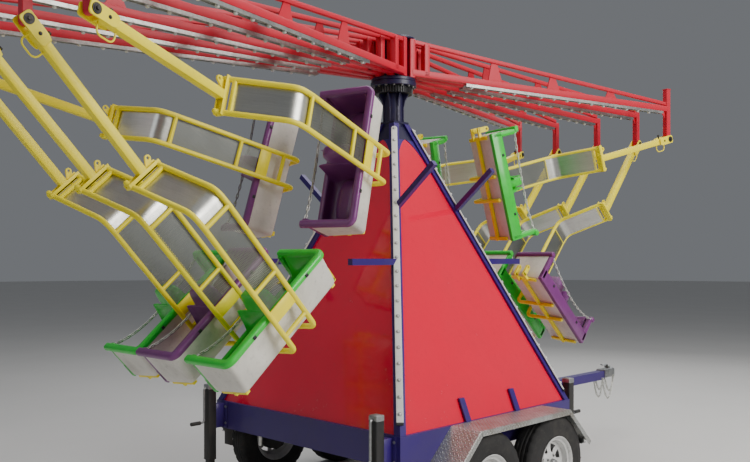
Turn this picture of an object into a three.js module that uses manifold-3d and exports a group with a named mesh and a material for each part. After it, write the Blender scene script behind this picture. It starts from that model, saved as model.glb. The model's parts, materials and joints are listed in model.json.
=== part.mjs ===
// A trailer-mounted swing ride, folded for the road: ten two-seat tubs on hangers under ten sweep arms.
// Millimetres, +Z up. The origin is on the ground under the hub, +Y points to the tow hitch.
import * as THREE from "three";
import { mergeVertices } from "three/addons/utils/BufferGeometryUtils.js";
import Module from "manifold-3d";

// Trailer
const FRAME_HALF = 900;
const FRAME_TOP = 680;
const RAIL_HEIGHT = 190;
const RAIL_WIDTH = 60;
const INNER_RAIL = 290;
const TONGUE_SIZE = 80;
const TONGUE_TOP = 600;
const TONGUE_END = 2950;
const BRACE_ROOT = 420;
const BRACE_END = 1700;
const BRACE_TIP = 20;
const HITCH_END = 3170;
const COUPLER_TOP = 620;
const COUPLER_BOTTOM = 535;
const COUPLER_RADIUS = 48;
const BALL_RADIUS = 25;
const BRACE_WIDTH = 80;
const BRACE_HEIGHT = 50;
const STAKE_PLACE = 265;
const STAKE_HALF = 25;
const STAKE_TOP = FRAME_TOP + 140;
const STAKE_INNER = FRAME_HALF - 15;
const STAKE_OUTER = FRAME_HALF - 3;
const STAKE_ROOT = 5;

// Running gear
const TYRE_RADIUS = 330;
const TYRE_WIDTH = 170;
const RIM_RADIUS = 185;
const DISC_EDGE = 24;
const DISC_MIDDLE = 34;
const WHEEL_SIDES = 20;
const WHEEL_PLACES = { rear: -310, front: 410 };
const WHEEL_CENTRE_X = 1025;
const AXLE_HEIGHT = TYRE_RADIUS * Math.cos(Math.PI / WHEEL_SIDES);
const AXLE_SIZE = 60;
const SPRING_X = FRAME_HALF - RAIL_WIDTH / 2;
const SPRING_WIDTH = 50;
const SPRING_THICKNESS = 24;
const WHEEL_MIDDLE = (WHEEL_PLACES.rear + WHEEL_PLACES.front) / 2;
const DRUM_RADIUS = 110;
const DRUM_WIDTH = 70;
const SPRING_REACH = 300;
const SPRING_CAMBER = 52;
const FENDER_OUTER = 1130;
const FENDER_SKIN = 5;
const FENDER_LIP = 30;
const FENDER_FLAT_HALF = 495;
const FENDER_HALF = 760;
const FENDER_BOTTOM = 430;

// Corner jacks
const JACK_X = 820;
const JACK_OUT = 112;
const JACK_TUBE = 64;
const JACK_LEG = 52;
const JACK_TOP = 815;
const JACK_BOTTOM = 285;
const JACK_ARM_HALF = 22;
const JACK_SUNK = 3;
const JACK_ARM_LEVELS = [500, 670];
const FOOT_HEIGHT = 220;
const FOOT_SIZE = 140;
const FOOT_PLATE = 10;
const JACK_CAP = 30;
const CRANK_HEIGHT = JACK_TOP - JACK_CAP;
const CRANK_DROP = 236;
const CRANK_REACH = 18;
const CRANK_RADIUS = 8;
const GRIP_LENGTH = 110;
const GRIP_RADIUS = 14;

// Tower: a four-sided pyramid of corner posts and panels round a mast
const TOWER_BASE = 895;
const TOWER_TOP = 2660;
const TOWER_TOP_HALF = 80;
const TOWER_LEAN = (TOWER_BASE - TOWER_TOP_HALF) / (TOWER_TOP - FRAME_TOP);
const POST_SIZE = 50;
const PANEL_SKIN = 12;
const PANEL_RECESS = 18;
const PANEL_TOP = 2540;
const STOW_BAR_HEIGHT = 1675;
const STOW_BAR_END = 878;
const STOW_BAR_SIZE = 40;
const STRUT_FOOT = 2045;
const STRUT_TOP = 2310;
const STRUT_END = 650;
const STRUT_SIZE = 36;
const MAST_RADIUS = 72;
const MAST_BOTTOM = 580;
const MAST_FLOOR_TOP = 640;
const MAST_FLOOR_SKIN = 20;
const HEAD_HALF = 78;
const HEAD_SKIN = 16;
const NECK_RADIUS = 120;
const NECK_HEIGHT = 30;
const BEARING_RADIUS = 165;
const BEARING_BOTTOM = 2900;
const BEARING_TOP = 2960;

// Hub and sweep arms
const HUB_RADIUS = 160;
const HUB_CORE = 88;
const HUB_PLATE = 25;
const HUB_LID = 15;
const HUB_TOP = 3275;
const PIN_CIRCLE = 140;
const ARM_LENGTH = 2740;
const ARM_WIDTH = 50;
const CHORD_HEIGHT = 50;
const TOP_CHORD = 30;
const CHORD_BOTTOM = BEARING_TOP + HUB_PLATE + 10;
const LIGHT_START = 480;
const LIGHT_HEIGHT = 22;
const LIGHT_WIDTH = 40;
const DROP_HALF = 24;
const DROP_CORNER = 15;
const DROP_RISE = 6;
const TALL_DROP_RISE = 150;
const ROOT_BRACE = [-150, -100];
const WEB_PLACES = [0.28, 0.5, 0.74];
const WEB_HALF = 45;
const WEB_SKIN = 10;

// Hangers and tubs, measured down from the pivot and back from the beam
const PIVOT_HEIGHT = 2750;
const PIN_RADIUS = 16;
const EYE_RADIUS = 17.7;
const EYE_SIDES = 8;
const BEAM_SIZE = 50;
const BEAM_END = 850;
const BEAM_START = 40;
const CHEEK_IN = 30;
const CHEEK_SKIN = 10;
const CHEEK_HALF = 34;
const CHEEK_RISE = 32;
const CHEEK_CORNER = 18;
const CHEEK_DOWN = 125;
const PIN_HEAD = 8;
const T_PLATE_MARGIN = 16;
const EAR_REACH = 70;
const EAR_HEIGHT = 60;
const EAR_SKIN = 12;
const LADDER_HALF = 92;
const RAIL_DIAMETER = 32;
const SHEET_SKIN = 6;
const LADDER_BACK = 349;
const LADDER_BEND = 1060;
const LADDER_END = 1890;
const UNDER_TUB = 1978;
const FLOOR_DROP = 37;
const RUNG_DOWN = [LADDER_BEND + 90, 1580, LADDER_END - 12];
const RUNG_SIZE = 24;
const PLATE_DOWN = [1715, 1790];
const PLATE_SKIN = 10;
const END_BAR_BACK = [10, 250];
const END_BAR_WIDTH = 28;
const END_BAR_HEIGHT = 16;
const KEEL_BACK = [118, 142];
const KEEL_RISE = 10;
const KEEL_DEPTH = 16;
const LUG_BACK = [90, 170];
const LUG_SKIN = 16;
const LUG_INNER = 6;
const LUG_OUTER = 46;
const LUG_HEIGHT = 90;
const TUB_HALF = 435;
const RIM_LEVEL = 1750;
const RIM_WIDTH = 45;
const RIM_HEIGHT = 38;
const RIM_FRONT = -58;
const RIM_BACK = 330;
const TUB_FLOOR = 1975;
const WELL_LIP = 33;
const WELL_BACK = 76;
const DIVIDER_FRONT = 60;
const DIVIDER_HALF = 42;
const DIVIDER_RISE = 105;
const MOUTH_BACK = 2;
const MOUTH_RISE = 70;
const MOUTH_DEPTH = 150;
const FRONT_FOOT = 28;

// How each arm of a group of five lies when folded, and how far its seat is swung in
const TIP_X = { centre: 0, inner: 430, outer: 785 };
const SWING_IN = { centre: 42.5, inner: 42, outer: 75 };
const SEAT_STEP = 36;
const GAP = 0.3;

const wasm = await Module();
wasm.setup();

const material = (color, roughness, metalness) =>
  new THREE.MeshStandardMaterial({ color, roughness, metalness });
const RED = material(0xd8142e, 0.3, 0.1);
const INDIGO = material(0x2b1d6e, 0.4, 0.1);
const YELLOW = material(0xe8d21a, 0.4, 0.1);
const WHITE = material(0xe9e7e0, 0.5, 0);
const BLACK = material(0x17171a, 0.6, 0.2);
const RUBBER = material(0x1b1b1c, 0.9, 0);
const ZINC = material(0xa9adb0, 0.4, 0.9);
const TREAD_PLATE = material(0xc3c6c8, 0.35, 0.9);

const radians = THREE.MathUtils.degToRad;

function solid(geometry) {
  const bare = geometry.clone();
  bare.deleteAttribute("normal");
  bare.deleteAttribute("uv");
  const merged = mergeVertices(bare, 1e-3);
  return new wasm.Manifold(
    new wasm.Mesh({
      numProp: 3,
      vertProperties: merged.attributes.position.array,
      triVerts: new Uint32Array(merged.index.array),
    }),
  );
}

function shell(body) {
  const mesh = body.getMesh();
  const geometry = new THREE.BufferGeometry();
  geometry.setAttribute("position", new THREE.BufferAttribute(mesh.vertProperties, 3));
  geometry.setIndex(new THREE.BufferAttribute(mesh.triVerts, 1));
  geometry.computeVertexNormals();
  return geometry;
}

const joined = (geometries) => geometries.map(solid).reduce((sum, next) => sum.add(next));

// A box from its lowest to its highest corner.
function block(low, high) {
  const size = high.map((value, i) => value - low[i]);
  return new THREE.BoxGeometry(...size).translate(...high.map((value, i) => (value + low[i]) / 2));
}

// A square bar between two points in the plane of `across`, an axis name.
function bar(from, to, width, thickness, across) {
  const start = new THREE.Vector3(...from);
  const end = new THREE.Vector3(...to);
  const along = end.clone().sub(start);
  const side = new THREE.Vector3(...{ x: [1, 0, 0], y: [0, 1, 0], z: [0, 0, 1] }[across]);
  const third = along.clone().cross(side).normalize();
  const turn = new THREE.Matrix4().makeBasis(side, third, along.clone().normalize());
  return new THREE.BoxGeometry(width, thickness, along.length())
    .applyMatrix4(turn)
    .translate(...start.add(end).multiplyScalar(0.5).toArray());
}

// A round rod along X, Y or Z.
function rod(radius, from, to, axis, centre, sides = 12) {
  const geometry = new THREE.CylinderGeometry(radius, radius, to - from, sides);
  if (axis === "x") geometry.rotateZ(-Math.PI / 2);
  if (axis === "z") geometry.rotateX(Math.PI / 2);
  const middle = (from + to) / 2;
  const [p, q] = centre;
  const place = { x: [middle, p, q], y: [p, middle, q], z: [p, q, middle] }[axis];
  return geometry.translate(...place);
}

// Extrudes an outline between two places along X, where the outline lies in Y and Z.
function acrossX(outline, fromX, toX) {
  const slab = new THREE.ExtrudeGeometry(outline, { depth: toX - fromX, bevelEnabled: false });
  slab.applyMatrix4(
    new THREE.Matrix4().makeBasis(
      new THREE.Vector3(0, 1, 0),
      new THREE.Vector3(0, 0, 1),
      new THREE.Vector3(1, 0, 0),
    ),
  );
  return slab.translate(fromX, 0, 0);
}

// Extrudes an outline between two places along Y, where the outline lies in X and Z.
function acrossY(outline, fromY, toY) {
  const slab = new THREE.ExtrudeGeometry(outline, { depth: toY - fromY, bevelEnabled: false });
  slab.applyMatrix4(
    new THREE.Matrix4().makeBasis(
      new THREE.Vector3(1, 0, 0),
      new THREE.Vector3(0, 0, 1),
      new THREE.Vector3(0, -1, 0),
    ),
  );
  return slab.translate(0, toY, 0);
}

// Leans an upright shape inwards as it rises, by the tower's slope, along the signs given.
function leaned(geometry, signX, signY) {
  const lean = new THREE.Matrix4().set(
    1, 0, -signX * TOWER_LEAN, signX * TOWER_LEAN * FRAME_TOP,
    0, 1, -signY * TOWER_LEAN, signY * TOWER_LEAN * FRAME_TOP,
    0, 0, 1, 0,
    0, 0, 0, 1,
  );
  return geometry.applyMatrix4(lean);
}

const towerHalf = (z) => TOWER_BASE - TOWER_LEAN * (z - FRAME_TOP);

const root = new THREE.Group();

function piece(name, geometry, finish, parent = root) {
  const mesh = new THREE.Mesh(geometry, finish);
  mesh.name = name;
  parent.add(mesh);
  return mesh;
}

// Trailer frame: a square grid of rails, and two flat stakes a side that lean along the panel.
function deckBars() {
  const bottom = FRAME_TOP - RAIL_HEIGHT;
  const half = RAIL_WIDTH / 2;
  const edge = FRAME_HALF - half;
  const bars = [];
  for (const place of [-edge, -INNER_RAIL, INNER_RAIL, edge]) {
    bars.push(block([place - half, -FRAME_HALF, bottom], [place + half, FRAME_HALF, FRAME_TOP]));
    bars.push(block([-FRAME_HALF, place - half, bottom], [FRAME_HALF, place + half, FRAME_TOP]));
  }
  for (const end of [-1, 1]) {
    const faces = [end * STAKE_INNER, end * STAKE_OUTER].sort((a, b) => a - b);
    for (const y of [-STAKE_PLACE, STAKE_PLACE]) {
      const low = [faces[0], y - STAKE_HALF, FRAME_TOP - STAKE_ROOT];
      bars.push(leaned(block(low, [faces[1], y + STAKE_HALF, STAKE_TOP]), end, 0));
    }
  }
  return bars;
}

piece("trailer_frame", shell(joined(deckBars())), INDIGO);

// Tongue: a box tube from the front beam, with a brace running into each of its sides.
function tongueBars() {
  const start = FRAME_HALF + GAP;
  const half = TONGUE_SIZE / 2;
  const middle = TONGUE_TOP - half;
  const behind = solid(block([-FRAME_HALF, 0, 0], [FRAME_HALF, start, FRAME_TOP]));
  let bars = solid(block([-half, start, TONGUE_TOP - TONGUE_SIZE], [half, TONGUE_END, TONGUE_TOP]));
  for (const side of [-1, 1]) {
    const root = [side * BRACE_ROOT, FRAME_HALF - RAIL_WIDTH, middle];
    const end = [side * BRACE_TIP, BRACE_END, middle];
    const brace = solid(bar(root, end, BRACE_WIDTH, BRACE_HEIGHT, "z"));
    bars = bars.add(brace.subtract(behind));
  }
  return bars;
}

piece("tongue", shell(tongueBars()), INDIGO);

// Axle: a beam with a hub drum at each end, on a leaf spring under each side rail.
function axleBody(y) {
  const drumEnd = WHEEL_CENTRE_X - GAP;
  const drumStart = drumEnd - DRUM_WIDTH;
  const beamHalf = AXLE_SIZE / 2;
  const seatTop = AXLE_HEIGHT + beamHalf + SPRING_THICKNESS;
  const leafMiddle = seatTop - SPRING_THICKNESS / 2;
  const leafEnd = leafMiddle + SPRING_CAMBER;
  const beamLow = [-drumStart - 10, y - beamHalf, AXLE_HEIGHT - beamHalf];
  const parts = [block(beamLow, [drumStart + 10, y + beamHalf, AXLE_HEIGHT + beamHalf])];
  for (const side of [-1, 1]) {
    const x = side * SPRING_X;
    const drum = [side * drumStart, side * drumEnd].sort((a, b) => a - b);
    parts.push(rod(DRUM_RADIUS, drum[0], drum[1], "x", [y, AXLE_HEIGHT], 10));
    parts.push(block([x - 30, y - 40, AXLE_HEIGHT], [x + 30, y + 40, seatTop]));
    for (const end of [-SPRING_REACH, SPRING_REACH]) {
      const leaf = [[x, y + end, leafEnd], [x, y, leafMiddle]].sort((a, b) => a[1] - b[1]);
      parts.push(bar(leaf[0], leaf[1], SPRING_WIDTH, SPRING_THICKNESS, "x"));
      const low = [x - 30, y + end - 25, leafEnd - 20];
      parts.push(block(low, [x + 30, y + end + 25, FRAME_TOP - RAIL_HEIGHT - GAP]));
    }
  }
  return joined(parts);
}

for (const [end, y] of Object.entries(WHEEL_PLACES)) {
  piece(`axle_${end}`, shell(axleBody(y)), INDIGO);
}

// Coupler: a pressed ball housing, open below, with its latch lever on top.
function couplerBody() {
  const top = COUPLER_TOP;
  const bottom = COUPLER_BOTTOM;
  const ballY = HITCH_END - COUPLER_RADIUS;
  const nose = rod(COUPLER_RADIUS, bottom, top, "z", [0, ballY], 12);
  const neck = block([-40, TONGUE_END + GAP, bottom], [40, ballY, top - 6]);
  const lever = block([-12, TONGUE_END + 20, top - 10], [12, ballY - 22, top + 24]);
  const socket = rod(BALL_RADIUS + 2, bottom - 15, bottom + 45, "z", [0, ballY], 12);
  return joined([nose, neck, lever]).subtract(solid(socket));
}

piece("hitch_coupler", shell(couplerBody()), ZINC);

// Fender: one folded tread plate over both wheels of a side, with a turned-down outer lip. The left one
// is the right one turned about the middle of the wheels.
function fenderBody() {
  const point = (y, z) => new THREE.Vector2(WHEEL_MIDDLE + y, z);
  const over = [
    point(-FENDER_HALF, FENDER_BOTTOM),
    point(-FENDER_FLAT_HALF, FRAME_TOP),
    point(FENDER_FLAT_HALF, FRAME_TOP),
    point(FENDER_HALF, FENDER_BOTTOM),
  ];
  const under = (drop) => [
    point(FENDER_HALF - 6, FENDER_BOTTOM - drop),
    point(FENDER_FLAT_HALF - 2, FRAME_TOP - drop),
    point(-FENDER_FLAT_HALF + 2, FRAME_TOP - drop),
    point(-FENDER_HALF + 6, FENDER_BOTTOM - drop),
  ];
  const skin = new THREE.Shape([...over, ...under(FENDER_SKIN)]);
  const lip = new THREE.Shape([...over, ...under(FENDER_SKIN + FENDER_LIP)]);
  return joined([
    acrossX(skin, FRAME_HALF + GAP, FENDER_OUTER),
    acrossX(lip, FENDER_OUTER - FENDER_SKIN, FENDER_OUTER),
  ]);
}

const fenderShape = shell(fenderBody());
piece("fender_right", fenderShape, TREAD_PLATE);
const leftFender = piece("fender_left", fenderShape.clone(), TREAD_PLATE);
leftFender.rotation.z = Math.PI;
leftFender.position.y = 2 * WHEEL_MIDDLE;

// Wheel: tyre, barrel and dished disc turned as one, about its own Z axis before it is laid on its side.
function wheelGeometry() {
  const half = TYRE_WIDTH / 2;
  const shoulder = half - 34;
  const profile = [
    [0, 0],
    [RIM_RADIUS - 20, 0],
    [RIM_RADIUS, -half],
    [TYRE_RADIUS - 30, -half],
    [TYRE_RADIUS, -shoulder],
    [TYRE_RADIUS, shoulder],
    [TYRE_RADIUS - 30, half],
    [RIM_RADIUS, half],
    [RIM_RADIUS - 30, DISC_EDGE],
    [0, DISC_MIDDLE],
  ];
  const points = profile.map(([radius, along]) => new THREE.Vector2(radius, along));
  const start = Math.PI / WHEEL_SIDES;
  return new THREE.LatheGeometry(points, WHEEL_SIDES, start, 2 * Math.PI);
}

for (const [end, y] of Object.entries(WHEEL_PLACES)) {
  for (const [side, sign] of [["right", 1], ["left", -1]]) {
    const wheel = piece(`wheel_${end}_${side}`, wheelGeometry(), RUBBER);
    wheel.rotation.z = -sign * Math.PI / 2;
    wheel.position.set(sign * WHEEL_CENTRE_X, y, AXLE_HEIGHT);
  }
}

// Jacks: a square tube on an arm out from each corner of the frame, with its crank on the outer face,
// and a leg that slides in it.
function jackPlace(geometry, signX, signY) {
  if (signY < 0) geometry.rotateZ(Math.PI);
  return geometry.translate(signX * JACK_X, signY * (FRAME_HALF + JACK_OUT), 0);
}

function jackTube(signX, signY) {
  const half = JACK_TUBE / 2;
  const bore = JACK_LEG / 2 + 1;
  const tube = solid(block([-half, -half, JACK_BOTTOM], [half, half, JACK_TOP]));
  const hollow = solid(block([-bore, -bore, JACK_BOTTOM - 1], [bore, bore, JACK_TOP - JACK_CAP]));
  const crankY = half + CRANK_REACH;
  const gripHeight = CRANK_HEIGHT - CRANK_DROP;
  const [low, high] = JACK_ARM_LEVELS;
  const fitted = joined([
    block([-JACK_ARM_HALF, GAP - JACK_OUT, low], [JACK_ARM_HALF, JACK_SUNK - half, high]),
    rod(CRANK_RADIUS + 1, half - JACK_SUNK, crankY, "y", [0, CRANK_HEIGHT], 8),
    rod(CRANK_RADIUS, gripHeight, CRANK_HEIGHT + CRANK_RADIUS, "z", [0, crankY], 8),
    rod(GRIP_RADIUS, crankY, crankY + GRIP_LENGTH, "y", [0, gripHeight], 8),
  ]);
  return jackPlace(shell(tube.subtract(hollow).add(fitted)), signX, signY);
}

function jackLeg(signX, signY) {
  const half = JACK_LEG / 2;
  const foot = FOOT_SIZE / 2;
  const body = joined([
    block([-half, -half, FOOT_HEIGHT], [half, half, JACK_TOP - 2 * JACK_CAP]),
    block([-foot, -foot, FOOT_HEIGHT], [foot, foot, FOOT_HEIGHT + FOOT_PLATE]),
  ]);
  return jackPlace(shell(body), signX, signY);
}

const CORNERS = [
  ["rear_left", -1, -1],
  ["rear_right", 1, -1],
  ["front_left", -1, 1],
  ["front_right", 1, 1],
];

for (const [corner, signX, signY] of CORNERS) {
  piece(`jack_${corner}`, jackTube(signX, signY), BLACK);
  piece(`jack_leg_${corner}`, jackLeg(signX, signY), BLACK);
}

// Corner post with its stow bar, which points along the trailer, and its strut, which points sideways.
function cornerPost(signX, signY) {
  const inside = TOWER_BASE - POST_SIZE;
  const xs = [signX * inside, signX * TOWER_BASE].sort((a, b) => a - b);
  const ys = [signY * inside, signY * TOWER_BASE].sort((a, b) => a - b);
  const post = leaned(
    block([xs[0], ys[0], FRAME_TOP + GAP], [xs[1], ys[1], TOWER_TOP]),
    signX,
    signY,
  );
  const barX = signX * (towerHalf(STOW_BAR_HEIGHT) - STOW_BAR_SIZE / 2);
  const half = STOW_BAR_SIZE / 2;
  const reach = [signY * Math.abs(barX), signY * STOW_BAR_END].sort((a, b) => a - b);
  const stowBar = block(
    [barX - half, reach[0], STOW_BAR_HEIGHT - half],
    [barX + half, reach[1], STOW_BAR_HEIGHT + half],
  );
  const face = towerHalf(STRUT_FOOT);
  const strutY = signY * (face - POST_SIZE / 2);
  const strut = bar(
    [signX * (face - 8), strutY, STRUT_FOOT],
    [signX * STRUT_END, strutY, STRUT_TOP],
    STRUT_SIZE,
    STRUT_SIZE,
    "y",
  );
  const mastRoom = solid(rod(MAST_RADIUS + GAP, FRAME_TOP, TOWER_TOP + 1, "z", [0, 0], 16));
  return shell(joined([post, stowBar, strut]).subtract(mastRoom));
}

// A face of the tower between two heights, as a slab between the posts. It faces +X until it is turned.
function facePlate(low, high) {
  const side = (z) => towerHalf(z) - POST_SIZE - GAP;
  const outline = new THREE.Shape([
    new THREE.Vector2(-side(low), low),
    new THREE.Vector2(side(low), low),
    new THREE.Vector2(side(high), high),
    new THREE.Vector2(-side(high), high),
  ]);
  const outer = TOWER_BASE - PANEL_RECESS;
  return leaned(acrossX(outline, outer - PANEL_SKIN, outer), 1, 0);
}

for (const [corner, signX, signY] of CORNERS) {
  piece(`corner_post_${corner}`, cornerPost(signX, signY), INDIGO);
}

const FACES = ["right", "front", "left", "rear"];
FACES.forEach((face, turn) => {
  const panel = piece(`tower_panel_${face}`, facePlate(FRAME_TOP + GAP, PANEL_TOP), RED);
  panel.rotation.z = (turn * Math.PI) / 2;
});

// Mast: the centre tube with the tower's head plates and the fixed half of the slewing bearing.
function mastBody() {
  const floorHalf = INNER_RAIL - RAIL_WIDTH / 2 - GAP;
  const floorBottom = MAST_FLOOR_TOP - MAST_FLOOR_SKIN;
  const parts = [
    rod(MAST_RADIUS, MAST_BOTTOM, BEARING_BOTTOM + 5, "z", [0, 0], 16),
    block([-floorHalf, -floorHalf, floorBottom], [floorHalf, floorHalf, MAST_FLOOR_TOP]),
    block([-HEAD_HALF, -HEAD_HALF, TOWER_TOP + GAP], [HEAD_HALF, HEAD_HALF, TOWER_TOP + HEAD_SKIN]),
    rod(BEARING_RADIUS, BEARING_BOTTOM, BEARING_TOP, "z", [0, 0], 24),
    rod(NECK_RADIUS, BEARING_BOTTOM - NECK_HEIGHT, BEARING_BOTTOM + 5, "z", [0, 0], 16),
  ];
  FACES.forEach((face, turn) => {
    parts.push(facePlate(PANEL_TOP + GAP, TOWER_TOP + 5).rotateZ((turn * Math.PI) / 2));
  });
  return shell(joined(parts));
}

piece("mast", mastBody(), INDIGO);

// Hub: two round plates on a core, which hold the arms' root posts between them.
const hub = new THREE.Group();
root.add(hub);
const hubBottom = BEARING_TOP + GAP;
const hubBody = joined([
  rod(HUB_RADIUS, hubBottom, hubBottom + HUB_PLATE, "z", [0, 0], 24),
  rod(HUB_CORE, hubBottom, HUB_TOP, "z", [0, 0], 20),
  rod(HUB_RADIUS, HUB_TOP - HUB_LID, HUB_TOP, "z", [0, 0], 24),
]);
piece("hub", shell(hubBody), INDIGO, hub);

// One sweep arm along -Y from its root pin, with its drop post turned so that neighbouring seats hang side
// by side. The outer arms have a tall post, which stands above the chord.
function armBody(tall, dropTurn) {
  const half = ARM_WIDTH / 2;
  const topHalf = TOP_CHORD / 2;
  const rootBottom = hubBottom + HUB_PLATE + GAP;
  const rootTop = HUB_TOP - HUB_LID - GAP;
  const chordTop = CHORD_BOTTOM + CHORD_HEIGHT;
  const topStart = rootTop - topHalf;
  const topEnd = chordTop + topHalf + 5;
  const topAt = (y) => topStart + ((topEnd - topStart) * y) / -ARM_LENGTH;
  const dropTop = chordTop + (tall ? TALL_DROP_RISE : DROP_RISE);
  const [braceStart, braceEnd] = ROOT_BRACE;
  const braceTop = topAt((braceStart + braceEnd) / 2) + 4;
  const lightHalf = LIGHT_WIDTH / 2;
  const lightLow = [-lightHalf, -ARM_LENGTH + 60, CHORD_BOTTOM - LIGHT_HEIGHT];
  const parts = [
    rod(half, rootBottom, rootTop, "z", [0, 0], 8),
    block([-half, -ARM_LENGTH, CHORD_BOTTOM], [half, 0, chordTop]),
    bar([0, 0, topStart], [0, -ARM_LENGTH, topEnd], TOP_CHORD, TOP_CHORD, "x"),
    block([-half, braceStart, CHORD_BOTTOM + 10], [half, braceEnd, braceTop]),
    block(lightLow, [lightHalf, -LIGHT_START, CHORD_BOTTOM + 5]),
  ];
  for (const share of WEB_PLACES) {
    const y = -share * ARM_LENGTH;
    const webLow = [-WEB_SKIN / 2, y - WEB_HALF, chordTop - 10];
    parts.push(block(webLow, [WEB_SKIN / 2, y + WEB_HALF, topAt(y)]));
  }
  const dropLow = PIVOT_HEIGHT - DROP_HALF;
  const outline = new THREE.Shape([
    new THREE.Vector2(-DROP_HALF, dropTop),
    new THREE.Vector2(-DROP_HALF, dropLow + DROP_CORNER),
    new THREE.Vector2(-DROP_HALF + DROP_CORNER, dropLow),
    new THREE.Vector2(DROP_HALF - DROP_CORNER, dropLow),
    new THREE.Vector2(DROP_HALF, dropLow + DROP_CORNER),
    new THREE.Vector2(DROP_HALF, dropTop),
  ]);
  const eye = Array.from({ length: EYE_SIDES }, (_, i) => {
    const angle = ((i + 0.5) * 2 * Math.PI) / EYE_SIDES;
    const across = EYE_RADIUS * Math.cos(angle);
    return new THREE.Vector2(across, PIVOT_HEIGHT + EYE_RADIUS * Math.sin(angle));
  });
  outline.holes.push(new THREE.Path(eye));
  const drop = acrossX(outline, -DROP_HALF, DROP_HALF);
  parts.push(drop.rotateZ(dropTurn).translate(0, -ARM_LENGTH, 0));
  return shell(joined(parts));
}

// The ladder's side line: out from the beam, over the bend, down behind the tub and forward under it.
const LADDER_LINE = [
  [0, BEAM_END + 12],
  [LADDER_BACK - 30, LADDER_BEND - 20],
  [LADDER_BACK, LADDER_BEND + 90],
  [LADDER_BACK, LADDER_END],
  [LADDER_BACK - 49, UNDER_TUB],
  [RIM_FRONT + 60, UNDER_TUB + FLOOR_DROP],
].map(([back, down]) => new THREE.Vector2(back, -down));
const SHEET_END = new THREE.Vector2(LADDER_BACK, -PLATE_DOWN[0]);

// A band of even thickness along a line in X and Z, with mitred bends, as wide in Y as asked.
function band(line, thickness, fromY, toY) {
  const offset = (sign) =>
    line.map((point, i) => {
      const before = point.clone().sub(line[Math.max(i - 1, 0)]).normalize();
      const after = line[Math.min(i + 1, line.length - 1)].clone().sub(point).normalize();
      const along = before.clone().add(after).normalize();
      const normal = new THREE.Vector2(-along.y, along.x);
      const edge = i === 0 ? after : before;
      const mitre = 1 / Math.abs(normal.dot(new THREE.Vector2(-edge.y, edge.x)));
      return point.clone().add(normal.multiplyScalar((sign * thickness * mitre) / 2));
    });
  const outline = new THREE.Shape([...offset(-1), ...offset(1).reverse()]);
  return acrossY(outline, fromY, toY);
}

// One hanger, with X back from the beam, Y towards the hub and Z up from the pivot pin.
function hangerBody() {
  const half = BEAM_SIZE / 2;
  const pinEnd = CHEEK_IN + CHEEK_SKIN + PIN_HEAD;
  const cheek = new THREE.Shape([
    new THREE.Vector2(-CHEEK_HALF, -CHEEK_DOWN),
    new THREE.Vector2(CHEEK_HALF, -CHEEK_DOWN),
    new THREE.Vector2(CHEEK_HALF, CHEEK_RISE - CHEEK_CORNER),
    new THREE.Vector2(CHEEK_HALF - CHEEK_CORNER, CHEEK_RISE),
    new THREE.Vector2(CHEEK_CORNER - CHEEK_HALF, CHEEK_RISE),
    new THREE.Vector2(-CHEEK_HALF, CHEEK_RISE - CHEEK_CORNER),
  ]);
  const headLow = [-CHEEK_IN - 2, -half, 10 - CHEEK_DOWN];
  const tube = RAIL_DIAMETER / 2;
  const inner = LADDER_HALF - tube + 4;
  const plateHalf = LADDER_HALF + T_PLATE_MARGIN;
  const earLow = [-EAR_SKIN / 2, half - 4, -BEAM_END + 2];
  const rail = (y) => band(LADDER_LINE, RAIL_DIAMETER, y - tube, y + tube);
  const parts = [
    rod(PIN_RADIUS, -pinEnd, pinEnd, "x", [0, 0], 8),
    acrossX(cheek, -CHEEK_IN - CHEEK_SKIN, -CHEEK_IN),
    acrossX(cheek, CHEEK_IN, CHEEK_IN + CHEEK_SKIN),
    block(headLow, [CHEEK_IN + 2, half, -BEAM_START]),
    block([-half, -half, -BEAM_END], [half, half, -BEAM_START]),
    block([-half, -plateHalf, -BEAM_END - 26], [half, plateHalf, -BEAM_END + 4]),
    block(earLow, [EAR_SKIN / 2, half + EAR_REACH, -BEAM_END + 2 + EAR_HEIGHT]),
    rail(-LADDER_HALF),
    rail(LADDER_HALF),
    band(LADDER_LINE.slice(0, 3).concat(SHEET_END), SHEET_SKIN, -inner, inner),
  ];
  const rungHalf = RUNG_SIZE / 2;
  for (const down of RUNG_DOWN) {
    const rung = [LADDER_BACK - rungHalf, -inner, -down - rungHalf];
    parts.push(block(rung, [LADDER_BACK + rungHalf, inner, -down + rungHalf]));
  }
  const plateLow = [LADDER_BACK - PLATE_SKIN / 2, -inner, -PLATE_DOWN[1]];
  parts.push(block(plateLow, [LADDER_BACK + PLATE_SKIN / 2, inner, -PLATE_DOWN[0]]));
  const reach = TUB_HALF - 26;
  const keel = UNDER_TUB + FLOOR_DROP / 2;
  const keelLow = [KEEL_BACK[0], -reach, -keel - KEEL_DEPTH];
  parts.push(block(keelLow, [KEEL_BACK[1], reach, -keel + KEEL_RISE]));
  const [barFront, barBack] = END_BAR_BACK;
  const endBarY = reach - END_BAR_WIDTH / 2;
  for (const end of [-endBarY, endBarY]) {
    const front = [barFront, end, END_BAR_HEIGHT / 2 - UNDER_TUB - FLOOR_DROP];
    const back = [barBack, end, 1 - UNDER_TUB];
    parts.push(bar(front, back, END_BAR_WIDTH, END_BAR_HEIGHT, "y"));
  }
  const lugIn = TUB_HALF + LUG_INNER;
  const lugOut = TUB_HALF + LUG_OUTER;
  for (const back of LUG_BACK) {
    const low = -keel - KEEL_DEPTH - 2;
    const faces = [back - LUG_SKIN / 2, back + LUG_SKIN / 2];
    parts.push(block([faces[0], reach - 20, low], [faces[1], lugOut, -keel + KEEL_RISE - 3]));
    parts.push(block([faces[0], lugIn, low], [faces[1], lugOut, -keel + LUG_HEIGHT]));
  }
  return joined(parts);
}

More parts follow.
